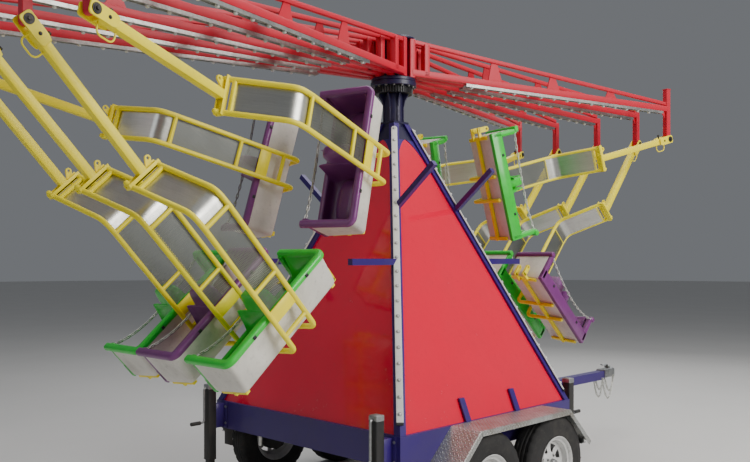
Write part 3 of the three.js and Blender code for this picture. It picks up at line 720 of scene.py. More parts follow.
def soiled(wiring, shader, colour, scale, amount, roughness, **more):
    """Feeds a colour and a roughness to the shader through road dirt."""
    sockets = {"Vector": where_it_is(wiring), "Color": colour, "Scale": scale, "Amount": amount}
    dirty = use(wiring, road_dirt(), Roughness=roughness, **sockets, **more)
    surfaced(wiring, shader, dirty["Color"], dirty["Roughness"])


def shade(colour, factor=1.0, plus=0.0):
    """A colour times a factor plus a number, none of its values over 1, with full cover."""
    return (*np.minimum(np.array(colour[:3]) * factor + plus, 1), 1)


def paint(name, colour, roughness, dirt, coat=0.0, wave=0.4, fade=0.2, chips=0.4, peel=0.1):
    """Sprayed paint on steel or plastic: faded patches, chips, road dirt and orange peel."""
    finish, w, shader = new_finish(name, coat=coat)
    place = where_it_is(w)
    faded = shade(colour, 0.75, 0.25 * (np.mean(colour[:3]) + 0.06))
    worn = use(
        w, chips_and_fade(), Vector=place, Color=shade(colour), Faded=faded, Scale=2.6, Fade=fade, Chips=chips
    )
    soiled(w, shader, worn["Color"], 2.2, dirt, roughness)
    bumped(w, shader, use(w, sprayed_skin(), Vector=place, Peel=peel, Wave=wave)["Height"], 0.0015)
    return finish


def bare_metal(name, colour, roughness, grain=False, dirt=0.2):
    """Zinc, steel or aluminium: a spangled or brushed ground, with dull patches and dirt."""
    finish, w, shader = new_finish(name, metallic=1.0)
    if grain:
        pattern = use(w, brushing(), Vector=where_made(w))["Grain"]
    else:
        pattern = w.noise(where_it_is(w), 45.0, 4.0, 0.65)
    light = w.mix(w.between(pattern, 0.3, 0.7), shade(colour, 0.78), shade(colour, 1.12))
    soiled(w, shader, light, 3.0, dirt, roughness)
    bumped(w, shader, pattern, 0.0004)
    return finish


def perforated_finish(name, colour, pitch):
    """Steel sheet with staggered round holes punched through, as see-through spots."""
    finish, w, shader = new_finish(name, metallic=0.7)
    holes = use(w, staggered_spots(), Vector=where_made(w), Pitch=pitch, Radius=0.37)["Spot"]
    tone = w.noise(where_it_is(w), 6.0, 4.0, 0.6)
    steel = w.mix(tone, shade(colour, 0.7), shade(colour, 1.25))
    surfaced(w, shader, steel, w.between(tone, 0.3, 0.7, 0.38, 0.6))
    w.feed(shader.inputs["Alpha"], w.minus(1.0, holes))
    return finish


def tread_finish(name, colour):
    """Aluminium tread plate: raised bars, brighter and smoother on top, dirt between them."""
    finish, w, shader = new_finish(name, metallic=0.9)
    bars = use(w, tread_bars(), Vector=where_made(w), Cell=0.030)["Height"]
    dust = w.between(w.noise(where_it_is(w), 5.0, 5.0, 0.65), 0.42, 0.68)
    ground = w.mix(dust, shade(colour), (0.28, 0.25, 0.21, 1))
    surfaced(w, shader, w.mix(bars, ground, shade(colour, 1.35)), w.between(bars, 0.0, 1.0, 0.46, 0.24))
    bumped(w, shader, bars, 0.003)
    return finish


def tyre_finish(name):
    """Tyre rubber, dusty brown-grey in patches."""
    finish, w, shader = new_finish(name, specular=0.35)
    soiled(w, shader, (0.018, 0.018, 0.019, 1), 5.0, 0.3, 0.78, Dirt=(0.11, 0.10, 0.085, 1))
    bumped(w, shader, w.noise(where_it_is(w), 260.0, 2.0, 0.5), 0.0006)
    return finish


def moulded_finish(name, colour, roughness, dirt=0.15, coat=0.0):
    """Moulded glass-fibre or plastic, with slow unevenness of the laid surface and scuffs."""
    finish, w, shader = new_finish(name, coat=coat, coat_roughness=0.12)
    place = where_made(w)
    tone = w.noise(place, 5.0, 4.0, 0.55)
    mixed = w.mix(w.between(tone, 0.3, 0.7), shade(colour, 0.86), shade(colour, 1.1))
    scuffs = w.noise(w.scaled(place, (60.0, 8.0, 60.0)), 1.0, 5.0, 0.75)
    marked = w.mix(w.between(scuffs, 0.62, 0.74, 0.0, 0.5), mixed, shade(colour, 0.55, 0.12))
    soiled(w, shader, marked, 2.6, dirt, roughness)
    bumped(w, shader, w.noise(place, 14.0, 4.0, 0.55), 0.0024)
    return finish


def bulb_finish(name):
    """Clear bulb caps over a pale reflector: a milky shell, its tone varying at random."""
    finish, w, shader = new_finish(name, coat=1.0, coat_roughness=0.02)
    tone = w.noise(where_it_is(w), 90.0, 2.0, 0.5)
    glass = w.mix(tone, (0.42, 0.43, 0.42, 1), (0.78, 0.79, 0.77, 1))
    surfaced(w, shader, glass, w.between(tone, 0.3, 0.7, 0.08, 0.2))
    return finish


FINISHES = {}


def finish_of(name):
    """The finish of that name, made at its first use from the colours in the panel."""
    if name not in FINISHES:
        paints = bpy.context.scene.ride_paints
        makers = {
            "panel red": lambda: paint("panel_red", paints.panel_red, 0.16, 0.10, 1.0, 1.2, 0.06, 0.0, 0.03),
            "arm red": lambda: paint("arm_red", paints.arm_red, 0.46, 0.18),
            "indigo": lambda: paint("indigo_paint", paints.indigo, 0.36, 0.2, 0.15),
            # The mast's and hub's paint is the indigo darkened, as painted shade.
            "shade_darkened_indigo": lambda: paint("navy_paint", paints.shade_darkened_indigo, 0.42, 0.25, 0.1),
            "yellow": lambda: paint("yellow_paint", paints.yellow, 0.42, 0.15),
            "black": lambda: paint("black_paint", paints.black, 0.45, 0.3, 0.0),
            "white wheel": lambda: paint("wheel_white", paints.wheel_white, 0.35, 0.35),
            "channel": lambda: paint("channel_white", paints.channel, 0.4, 0.18, chips=0.1),
            "shell": lambda: moulded_finish("shell_white", paints.shell, 0.42, dirt=0.3),
            "purple": lambda: moulded_finish("liner_purple", paints.purple, 0.38, coat=0.25),
            "green": lambda: moulded_finish("liner_green", paints.green, 0.36, coat=0.3),
            "zinc": lambda: bare_metal("zinc", paints.zinc, 0.42),
            "pin steel": lambda: bare_metal("pin_steel", linear(74, 72, 70), 0.5, dirt=0.3),
            "silver": lambda: bare_metal("silver_channel", paints.silver, 0.36, dirt=0.25),
            "brushed": lambda: bare_metal("brushed_sheet", paints.sheet, 0.30, grain=True, dirt=0.1),
            "chain": lambda: bare_metal("chain_steel", paints.sheet, 0.55, dirt=0.10),
            "perforated": lambda: perforated_finish("perforated_sheet", paints.screen, paints.hole_pitch),
            "tread": lambda: tread_finish("tread_plate", paints.tread),
            "tyre": lambda: tyre_finish("tyre_rubber"),
            "bulb": lambda: bulb_finish("bulb_caps"),
        }
        FINISHES[name] = makers[name]()
    return FINISHES[name]


# Settings in the panel


def colour_property(name, description, screen):
    """A colour whose default is given as a screen colour from 0 to 255."""
    return bpy.props.FloatVectorProperty(
        name=name, description=description, default=linear(*screen), size=3, subtype="COLOR", min=0.0, max=1.0
    )


def length_property(name, description, default, low):
    return bpy.props.FloatProperty(
        name=name, description=description, default=default, min=low, subtype="DISTANCE", unit="LENGTH"
    )


class RidePaints(bpy.types.PropertyGroup):
    """Colours of the ride's paint, plastic and metal."""

    panel_red: colour_property("Panel red", "Gloss red of the tower's panels", (236, 0, 56))
    arm_red: colour_property("Arm red", "Red of the sweep arms", (204, 4, 44))
    indigo: colour_property("Indigo", "Frame, tower posts and tongue", (46, 14, 112))
    # This colour is painted shade: a darker copy of the indigo, used on the mast and the hub.
    shade_darkened_indigo: colour_property("Shaded indigo", "Mast, slewing ring and hub", (20, 12, 58))
    yellow: colour_property("Yellow", "Hangers and ladders", (255, 236, 0))
    black: colour_property("Black", "Jacks and small fittings", (30, 30, 32))
    shell: colour_property("Shell white", "Outer shell of the tubs", (222, 218, 208))
    purple: colour_property("Purple", "Rim and inside of the purple tubs", (122, 52, 122))
    green: colour_property("Green", "Rim and inside of the green tubs", (30, 206, 52))
    wheel_white: colour_property("Wheel white", "Painted steel wheels", (222, 222, 220))
    channel: colour_property("Channel white", "Light channels on the tower", (232, 232, 226))
    zinc: colour_property("Zinc", "Coupler, pins and chains", (176, 178, 178))
    silver: colour_property("Silver", "Light channels under the arms", (190, 190, 186))
    sheet: colour_property("Sheet", "Brushed sheet behind the seats", (206, 206, 200))
    screen: colour_property("Screen", "Perforated sheet behind the seats", (122, 124, 116))
    tread: colour_property("Tread plate", "Fenders", (176, 178, 176))
    hole_pitch: length_property("Hole pitch", "Spacing of the holes in the perforated sheet", 0.009, 0.004)


class RideSizes(bpy.types.PropertyGroup):
    """Sizes of the fittings that the looks add."""

    post_bulb_step: length_property("Post bulb step", "Spacing of the bulbs on the tower", 0.105, 0.03)
    arm_bulb_step: length_property("Arm bulb step", "Spacing of the bulbs under the arms", 0.140, 0.03)
    channel_width: length_property("Channel width", "Width of the tower's light channels", 0.042, 0.02)
    rail: length_property("Ladder rail", "Diameter of the ladder rails", 0.030, 0.01)
    rim_width: length_property("Rim width", "Width of the rim round a tub", 0.045, 0.01)
    rim_height: length_property("Rim height", "Height of the rim round a tub", 0.040, 0.01)
    link_pitch: length_property("Link pitch", "Spacing of the links of a seat chain", 0.030, 0.01)
    link_wire: length_property("Link wire", "Radius of the wire of a link", 0.0038, 0.001)


def sizes():
    return bpy.context.scene.ride_sizes


# Places


def tower_half(height):
    """Half the tower's width at a height: it narrows evenly from its base."""
    return TOWER_BASE - (height - FRAME_TOP) * TOWER_LEAN


def panel_out(height):
    """How far out the panels' faces are at a height."""
    return PANEL_FACE - (height - FRAME_TOP) * TOWER_LEAN


def seat_axes(name, tilted=True):
    """Axes of a seat as columns: X back from the beam, Y to the hub, Z up, turned about X by the angle
    that the folded seat is swung in."""
    back = -np.asarray(JOINTS[f"swing_{name}"]["axis"], float)
    level = np.cross((0, 0, 1), back)
    angle = math.radians(TILTED_IN[name.split("_")[1]]) if tilted else 0.0
    towards = math.cos(angle) * level + math.sin(angle) * np.array([0, 0, 1.0])
    return np.column_stack([back, towards, np.cross(back, towards)])


def seat_origin(name):
    return np.asarray(JOINTS[f"swing_{name}"]["pos_m"], float)


def arm_frame(name):
    """Origin on the ground below an arm's root pin, and its axes: Y back to the hub, Z up."""
    tip = seat_origin(name) * [1, 1, 0]
    joint = JOINTS.get(f"unfold_{name}")
    if joint:
        root = np.asarray(joint["pos_m"], float) * [1, 1, 0]
    else:
        root = unit(tip) * PIN_CIRCLE
    inward = unit(root - tip)
    return root, np.column_stack([np.cross(inward, (0, 0, 1)), inward, (0, 0, 1)])


def arm_body(name):
    return f"arm_{name}" if f"unfold_{name}" in JOINTS else "rotor"


def rounded_loop(corners, radius, steps=3):
    """A closed outline with its corners rounded."""
    corners = np.asarray(corners, float)
    start = (corners[0] + corners[-1]) / 2
    line = filleted([start, *corners, start], radius, steps)
    return line[:-1]


def stadium(length, width, steps):
    """An outline of two half circles joined by straight sides, along X from the middle of the first."""
    angle = np.linspace(math.pi / 2, 3 * math.pi / 2, steps + 1)
    first = width / 2 * bearing(angle)
    return np.concatenate([first, -first + [length, 0]])


def eye_plate(length, width, hole, thickness, steps):
    """A stadium plate with a round hole in the half circle at its far end, point for point: each point of
    the hole lies towards the outline's own point."""
    outline = stadium(length, width, steps)
    towards = unit(outline - [length, 0] + 1e-9)
    return holed_plate(outline, towards * hole + [length, 0], thickness)


# Tower


def face_axes(face):
    """Axes of one face of the tower: X out of it, Y along it, Z up."""
    turn = FACES.index(face) * math.pi / 2
    return np.array([[math.cos(turn), -math.sin(turn), 0], [math.sin(turn), math.cos(turn), 0], [0, 0, 1]])


def face_plate(outline, thickness):
    """A thin plate lying on the red panel that faces +X: an outline in Y and Z, laid in the panel's plane."""
    outline = np.asarray(outline, float)
    face = panel_out(outline[:, 1]) + thickness
    low = np.column_stack([face - thickness, outline])
    high = np.column_stack([face, outline])
    less = np.column_stack([face + 0.001, drawn_in(outline, 0.001)])
    return loft([low, high, less])


def panel_gusset(side):
    """The painted web in a top corner of a panel: two straight sides and a hollow third."""
    top = PANEL_TOP
    low = PANEL_TOP - 0.17
    edge_top = tower_half(top) - POST_SIZE
    edge_low = tower_half(low) - POST_SIZE
    t = np.linspace(0, 1, 7)[:, None]
    start = np.array([edge_low, low])
    end = np.array([edge_top - 0.07, top])
    hollow = np.array([edge_top - 0.008, top - 0.03])
    curve = (1 - t) ** 2 * start + 2 * t * (1 - t) * hollow + t**2 * end
    outline = np.concatenate([curve, [[edge_top, top]]])
    if side < 0:
        outline = outline[::-1] * [-1, 1]
    return face_plate(outline, 0.003)


def panel_screws():
    """Small heads along both sloping edges of a panel."""
    height = np.arange(0.80, 2.45, 0.20)
    along = tower_half(height) - POST_SIZE - 0.022
    places = [np.column_stack([panel_out(height), side * along, height]) for side in SIDES]
    head = turned([(0, 0), (0.006, 0), (0.0045, 0.003), (0, 0.0036)], 10)
    return scattered(head, facing((1, 0, TOWER_LEAN)), np.concatenate(places))


class SWINGRIDE_OT_tower(bpy.types.Operator):
    """Gloss panels, painted posts, corner webs and panel screws of the tower"""

    bl_idname = "swing_ride.tower"
    bl_label = "Tower"

    def execute(self, context):
        for face in FACES:
            dress(f"tower_panel_{face}", "panel red")
        for corner in CORNERS:
            dress(f"corner_post_{corner}", "indigo")
        webs = []
        screws = []
        for face in FACES:
            axes = face_axes(face)
            webs += each_placed([panel_gusset(side) for side in SIDES], axes)
            screws.append(placed(panel_screws(), axes))
        make("tower_corner_webs", webs, "indigo", "trailer")
        make("tower_panel_screws", screws, "panel red", "trailer")
        return {"FINISHED"}


# Mast


def mast_head():
    """The four short plates between the posts' tops, under the square head plate."""
    bodies = []
    for face in FACES:
        rings = []
        for height in (PANEL_TOP + 0.0005, TOWER_TOP + 0.004):
            half = tower_half(height) - POST_SIZE - 0.0003
            out = panel_out(height)
            corners = [(out - 0.012, -half), (out, -half), (out, half), (out - 0.012, half)]
            rings.append([(x, y, height) for x, y in corners])
        bodies.append(placed(loft(rings), face_axes(face)))
    low, high = TOWER_TOP + 0.0003, TOWER_TOP + 0.016
    bodies.append(block((-HEAD_HALF, -HEAD_HALF, low), (HEAD_HALF, HEAD_HALF, high)))
    return bodies


def mast_fins(count=8):
    """Upright fins round the neck, wider at the top: outlines in (radius, height), stood on edge."""
    top = RING_LOW - 0.0005
    outline = [(0.062, 2.676), (0.080, 2.676), (0.080, 2.78), (0.090, 2.83), (0.120, top), (0.062, top)]
    fin = moved(plate(rounded_loop(outline, 0.006), 0.010), (0, 0, -0.005))
    return [placed(fin, on_edge(turn + math.pi / count)) for turn in around(count)]


def slewing_ring(teeth=44):
    """The geared ring: its outer radius goes up and down with the angle, flat on the teeth and between."""
    count = teeth * 4
    radius = np.where(np.arange(count) % 4 < 2, 0.138, 0.130)
    outer = radius[:, None] * bearing(around(count))
    return moved(holed_plate(outer, circle(0.09, count), FLANGE_LOW - RING_LOW), (0, 0, RING_LOW))


class SWINGRIDE_OT_mast(bpy.types.Operator):
    """Centre tube, head plates, finned neck and slewing ring"""

    bl_idname = "swing_ride.mast"
    bl_label = "Mast"

    def execute(self, context):
        wall = [(MAST_RADIUS - 0.001, 0.58), (MAST_RADIUS, 0.582), (MAST_RADIUS, RING_LOW)]
        tube = [(0, 0.58), *wall, (0, RING_LOW)]
        floor = block((-0.2597, -0.2597, 0.620), (0.2597, 0.2597, 0.640))
        rounding = [(0.161, FLANGE_LOW), (0.165, 2.929), (0.165, 2.956), (0.161, FLANGE_TOP)]
        flange = turned([(0, FLANGE_LOW), *rounding, (0, FLANGE_TOP)], 56)
        bodies = [turned(tube, 40), floor, *mast_head(), *mast_fins(), flange]
        # The mast takes the darker copy of the indigo, as painted shade.
        make("mast_column", bodies, "shade_darkened_indigo", "trailer", ["mast"])
        make("slewing_ring_teeth", slewing_ring(), "black", "trailer")
        heads = bolts(at_height(circle(0.148, 16), FLANGE_LOW), (0, 0, -1), 0.011, 0.009)
        make("slewing_ring_bolts", heads, "zinc", "trailer")
        return {"FINISHED"}


# Light channels on the corner posts


def channel_frame(signs):
    """A post's outer edge from its foot: origin there, X across the strip, Y up along it, Z out."""
    x, y = signs
    along = unit((-x * TOWER_LEAN, -y * TOWER_LEAN, 1))
    out = unit((x, y, 2 * TOWER_LEAN))
    foot = np.array([x * TOWER_BASE, y * TOWER_BASE, FRAME_TOP])
    return foot, np.column_stack([np.cross(along, out), along, out])


class SWINGRIDE_OT_channels(bpy.types.Operator):
    """White light channels with clear bulbs on the tower's four edges"""

    bl_idname = "swing_ride.channels"
    bl_label = "Tower lights"

    def execute(self, context):
        width = sizes().channel_width
        slope = math.sqrt(1 + 2 * TOWER_LEAN**2)
        start = (0.752 - FRAME_TOP) * slope
        end = (2.630 - FRAME_TOP) * slope
        cap = width / 2 * bearing(np.linspace(0, math.pi, 9)) + [0, end - width / 2]
        outline = np.concatenate([[(-width / 2, start), (width / 2, start)], cap])
        strip = moved(plate(outline, 0.010, 0.003), (0, 0, -0.003))
        low, high, half = start + 0.012, end - 0.03, 0.3 * width
        groove = plate([(-half, low), (half, low), (half, high), (-half, high)], 0.0015, 0.0004)
        groove = moved(groove, (0, 0, 0.0063))
        stop = block((-width / 2, start - 0.016, -0.004), (width / 2, start - 0.001, 0.008))
        run = np.arange(start + 0.05, end - 0.02, sizes().post_bulb_step)
        places = on_middle(run, 0.0075)
        dome = [(0.0095, 0.004), (0.0078, 0.008), (0.0042, 0.0105), (0, 0.0112)]
        bulb = turned([(0, 0), (0.0095, 0), *dome], 12)
        lamps = scattered(bulb, np.eye(3), places)
        socket = turned([(0, 0), (0.0125, 0), (0.0125, 0.002), (0, 0.002)], 12)
        holders = scattered(socket, np.eye(3), places - [0, 0, 0.0005])
        for corner, signs in CORNERS.items():
            origin, axes = channel_frame(signs)
            tops = each_placed((strip, groove), axes, origin)
            make(f"light_channel_{corner}", tops, "channel", "trailer")
            make(f"light_channel_stop_{corner}", placed(stop, axes, origin), "black", "trailer")
            make(f"post_bulbs_{corner}", placed(lamps, axes, origin), "bulb", "trailer")
            make(f"bulb_holders_{corner}", placed(holders, axes, origin), "silver", "trailer")
        return {"FINISHED"}


# Trailer


class SWINGRIDE_OT_deck(bpy.types.Operator):
    """Paint of the frame, tongue and axles, with bolts, jack brackets, tail lamp and flap"""

    bl_idname = "swing_ride.deck"
    bl_label = "Trailer frame"

    def execute(self, context):
        for node in ("trailer_frame", "tongue"):
            dress(node, "indigo")
        for end in WHEEL_PLACES:
            dress(f"axle_{end}", "black")
        brackets = []
        heads = []
        for x, y in CORNERS.values():
            brackets.append(block((0.798 * x, 0.9004 * y, 0.501), (0.842 * x, 0.9825 * y, 0.669)))
            foot = block((0.768 * x, 0.9004 * y, 0.496), (0.872 * x, 0.9074 * y, 0.676), 0.003, 0.001)
            brackets.append(foot)
            places = [(at * x, 0.9074 * y, height) for at in (0.782, 0.858) for height in (0.53, 0.645)]
            heads.append(bolts(places, (0, y, 0), 0.011, 0.008))
        make("jack_brackets", brackets, "indigo", "trailer")
        make("frame_bolts", heads, "zinc", "trailer")
        lamp = block((-0.413, -0.899, 0.425), (-0.389, -0.885, 0.4895), 0.006, 0.003)
        make("tail_lamp", lamp, "channel", "trailer")
        flap = [block((-0.815, -0.893, 0.375), (-0.725, -0.887, 0.4895), 0.002, 0.001)]
        flap.append(block((-0.83, -0.896, 0.470), (-0.71, -0.884, 0.4895), 0.002, 0.001))
        make("rear_flap", flap, "black", "trailer")
        return {"FINISHED"}


def fender_path():
    """The line of a fender's top side in (y, z), up one end, over both wheels and down the other."""
    middle = sum(WHEEL_PLACES.values()) / 2
    reach = ((-0.760, 0.430), (-0.495, 0.6795), (0.495, 0.6795), (0.760, 0.430))
    return filleted([(y + middle, z) for y, z in reach], 0.020, 4)


def fender(side):
    """A folded plate: the path drawn across from the frame to the outer edge, 4 mm thick, with a lip turned
    down along that edge, and the length along the path kept for the tread pattern."""
    path = fender_path()
    run = run_along(path)
    inner, outer = 0.9005, 1.1295
    step = unit(np.diff(path, axis=0))
    along = unit(np.concatenate([step[:1], step]) + np.concatenate([step, step[-1:]]))
    down = np.stack([along[:, 1], -along[:, 0]], 1)
    profile = [(inner, 0.004), (inner, 0.0), (outer - 0.004, 0.0), (outer, 0.004)]
    profile += [(outer, 0.034), (outer - 0.004, 0.034), (outer - 0.004, 0.006), (outer - 0.006, 0.004)]
    rings = [np.column_stack([np.full(len(path), across), path + down * depth]) for across, depth in profile]
    made = [np.column_stack([np.full(len(path), drawn), run, 0 * run]) for drawn in run_along(profile)]
    body = loft(np.stack(rings, 1), made=np.stack(made, 1))
    return outward(placed(body, np.diag([side, 1.0, 1.0])))


class SWINGRIDE_OT_fenders(bpy.types.Operator):
    """Folded tread plate over the wheels, with its outer lip and end brackets"""

    bl_idname = "swing_ride.fenders"
    bl_label = "Fenders"

    def execute(self, context):
        for label, side in (("right", 1), ("left", -1)):
            node = f"fender_{label}"
            make(f"{node}_plate", fender(side), "tread", "trailer", [node], 20)
            near, far = 0.985 * side, 1.075 * side
            brackets = []
            for y in (-0.703, 0.803):
                brackets.append(block((near, y - 0.03, 0.405), (far, y + 0.03, 0.411), 0.002, 0.001))
                brackets.append(block((near, y - 0.003, 0.405), (far, y + 0.003, 0.450), 0.002, 0.001))
            make(f"{node}_brackets", brackets, "zinc", "trailer")
        return {"FINISHED"}


# Wheels


def tyre():
    """A tyre turned about Z, with its profile going round the section and grooves cut in the tread: the
    radius is less where the section crosses one of three grooves, and by blocks near the shoulders."""
    top = TYRE_RADIUS
    outline = [(0.184, -0.070), (0.200, -0.080), (0.262, -0.084), (0.312, -0.074), (top, -0.052), (top, 0)]
    wall = filleted(outline, 0.03, 4)[:-1]
    tread = np.column_stack([np.full(15, top), np.linspace(-0.048, 0.048, 15)])
    inner = [(0.176, 0.060), (0.172, 0.0), (0.176, -0.060)]
    section = np.concatenate([wall, tread, wall[::-1] * [1, -1], inner])
    steps = 120
    radius = section[:, :1]
    width = section[:, 1:]
    grooves = np.any([np.abs(width - place) < 0.0036 for place in (-0.0275, 0.0, 0.0275)], axis=0)
    zigzag = (np.arange(steps) % 4 == 0) & (np.abs(width) > 0.033)
    cut = grooves & (radius > top - 0.004) | zigzag & (radius > 0.308)
    points = ring_points(radius - 0.006 * cut, width, around(steps))
    return outward(part(points, grid_faces(len(section), steps, wrap_rows=True)))


def wheel_rim():
    """The steel barrel of a wheel with its turned edge."""
    section = [(0.187, 0.074), (0.190, 0.080), (0.187, 0.084), (0.181, 0.080), (0.172, 0.062), (0.160, 0.058)]
    section += [(0.156, 0.030), (0.156, -0.050), (0.170, -0.062), (0.180, -0.080), (0.187, -0.082)]
    section += [(0.187, -0.074), (0.176, -0.056), (0.162, -0.046), (0.162, 0.026)]
    section += [(0.166, 0.052), (0.176, 0.056)]
    return turned(section, 64, closed=True)


def wheel_disc(spokes=8):
    """The dished disc: rings between the hub and the rim, of which the faces of a window are left out in
    each sector. The window's edge starts at an angle that lessens with the radius, so it is a wedge."""
    radii = np.array([0.030, 0.052, 0.066, 0.078, 0.092, 0.112, 0.132, 0.146, 0.158])[:, None]
    heights = np.array([0.040, 0.040, 0.036, 0.022, 0.016, 0.014, 0.018, 0.024, 0.022])[:, None]
    share = np.array([0.30, 0.30, 0.30, 0.30, 0.30, 0.235, 0.17, 0.17, 0.17])[:, None]
    spoke = np.array([0.0, 0.5, 1.0])
    window = np.linspace(0, 1, 6)[1:-1]
    fraction = np.concatenate([share * spoke, share + (1 - 2 * share) * window, 1 - share], 1)
    rows, columns = fraction.shape
    total = spokes * columns
    angle = (np.arange(spokes)[:, None] + fraction[:, None]).reshape(rows, total) * 2 * math.pi / spokes
    flat = ring_points(radii, heights, angle).reshape(-1, 3)
    lower = flat - [0, 0, 0.004]
    count = len(flat)
    faces = grid_faces(rows, total).reshape(rows - 1, total, 4)
    row = np.arange(rows - 1)[:, None]
    column = np.arange(total) % columns
    hole = (row >= 3) & (row <= 5) & (column >= 2) & (column <= columns - 2)
    faces = faces[~hole]
    edges = np.concatenate([faces[:, [k, (k + 1) % 4]] for k in range(4)])
    key = edges @ [count, 1]
    back = edges @ [1, count]
    rim = edges[~np.isin(key, back)]
    walls = np.stack([rim[:, 1], rim[:, 0], rim[:, 0] + count, rim[:, 1] + count], 1)
    return outward(part(np.concatenate([flat, lower]), faces, faces[:, ::-1] + count, walls))


def wheel_centre():
    """The cap over the bearing and the ring of wheel nuts."""
    cap = [(0, 0.010), (0.036, 0.010), (0.036, 0.052), (0.033, 0.064), (0.022, 0.070), (0, 0.071)]
    nuts = bolts(at_height(circle(0.057, 5), 0.037), (0, 0, 1), 0.011, 0.012)
    return gathered([turned(cap, 32), nuts])


class SWINGRIDE_OT_wheels(bpy.types.Operator):
    """Treaded tyres on white steel wheels with wedge shaped windows"""

    bl_idname = "swing_ride.wheels"
    bl_label = "Wheels"

    def execute(self, context):
        shapes = {"tyre": tyre(), "rim": wheel_rim(), "disc": wheel_disc(), "centre": wheel_centre()}
        for end, y in WHEEL_PLACES.items():
            for label, side in (("right", 1), ("left", -1)):
                node = f"wheel_{end}_{label}"
                axes = np.column_stack([(0, side, 0), (0, 0, 1), (side, 0, 0)])
                origin = (side * WHEEL_X, y, AXLE_HEIGHT)
                at = {key: placed(shape, axes, origin) for key, shape in shapes.items()}
                make(f"{node}_tyre", at["tyre"], "tyre", node, [node])
                steel = [at["rim"], at["disc"]]
                make(f"{node}_steel", steel, "white wheel", node)
                make(f"{node}_cap", at["centre"], "zinc", node)
        return {"FINISHED"}


# Jacks


JACK_X = 0.820
JACK_Y = 1.012
JACK_LOW = 0.285
CRANK_TOP = 0.785
CRANK_LOW = 0.549
FOOT_TOP = 0.2295


def square_tube(half, wall, high):
    """An upright square tube from the jack's lower end, open at both ends."""
    outer = rounded_rectangle(2 * half, 2 * half, 0.006)
    inner = rounded_rectangle(2 * (half - wall), 2 * (half - wall), max(0.006 - wall, 0.001))
    return moved(holed_plate(outer, inner, high - JACK_LOW), (0, 0, JACK_LOW))


class SWINGRIDE_OT_jacks(bpy.types.Operator):
    """Corner jacks: black tubes with a grey cap, a cranked handle, and legs with a foot"""

    bl_idname = "swing_ride.jacks"
    bl_label = "Jacks"

    def execute(self, context):
        leg = [
            sweep([(0, 0, 0.224), (0, 0, 0.750)], rounded_rectangle(0.050, 0.050, 0.006), (1, 0, 0)),
            block((-0.069, -0.069, 0.2205), (0.069, 0.069, FOOT_TOP)),
        ]
        fin = plate([(0.024, FOOT_TOP), (0.062, FOOT_TOP), (0.024, 0.262)], 0.005, 0.001)
        fin = moved(fin, (0, 0, -0.0025))
        leg += [placed(fin, on_edge(turn)) for turn in around(4)]
        for corner, (x, y) in CORNERS.items():
            middle = (JACK_X * x, JACK_Y * y, 0)
            tube = square_tube(0.032, 0.005, 0.797)
            collar = square_tube(0.0325, 0.006, JACK_LOW + 0.012)
            node = f"jack_{corner}"
            tubes = [moved(body, middle) for body in (tube, collar)]
            make(f"{node}_tube", tubes, "black", "trailer", [node])
            cap = [block((-0.033, -0.033, 0.778), (0.033, 0.033, 0.813), 0.007, 0.004)]
            cap.append(block((-0.018, -0.018, 0.811), (0.018, 0.018, 0.8145), 0.004, 0.001))
            shaft = 0.050 * y
            line = [(0, 0.029 * y, CRANK_TOP), (0, shaft, CRANK_TOP), (0, shaft, CRANK_LOW)]
            line.append((0, shaft + 0.108 * y, CRANK_LOW))
            cap.append(sweep(filleted(line, 0.016, 5), circle(0.0075, 10), (1, 0, 0)))
            metal = [moved(body, middle) for body in cap]
            make(f"{node}_crank", metal, "zinc", "trailer")
            grip = [(0, shaft + reach * y, CRANK_LOW) for reach in (0.030, 0.109)]
            grip = rod(*grip, 0.0135, 14, soft=0.003)
            make(f"{node}_grip", moved(grip, middle), "black", "trailer")
            legs = [moved(body, middle) for body in leg]
            body = f"jack_leg_{corner}"
            make(f"{body}_dressed", legs, "black", body, [body])
        return {"FINISHED"}


# Coupler and tow chains


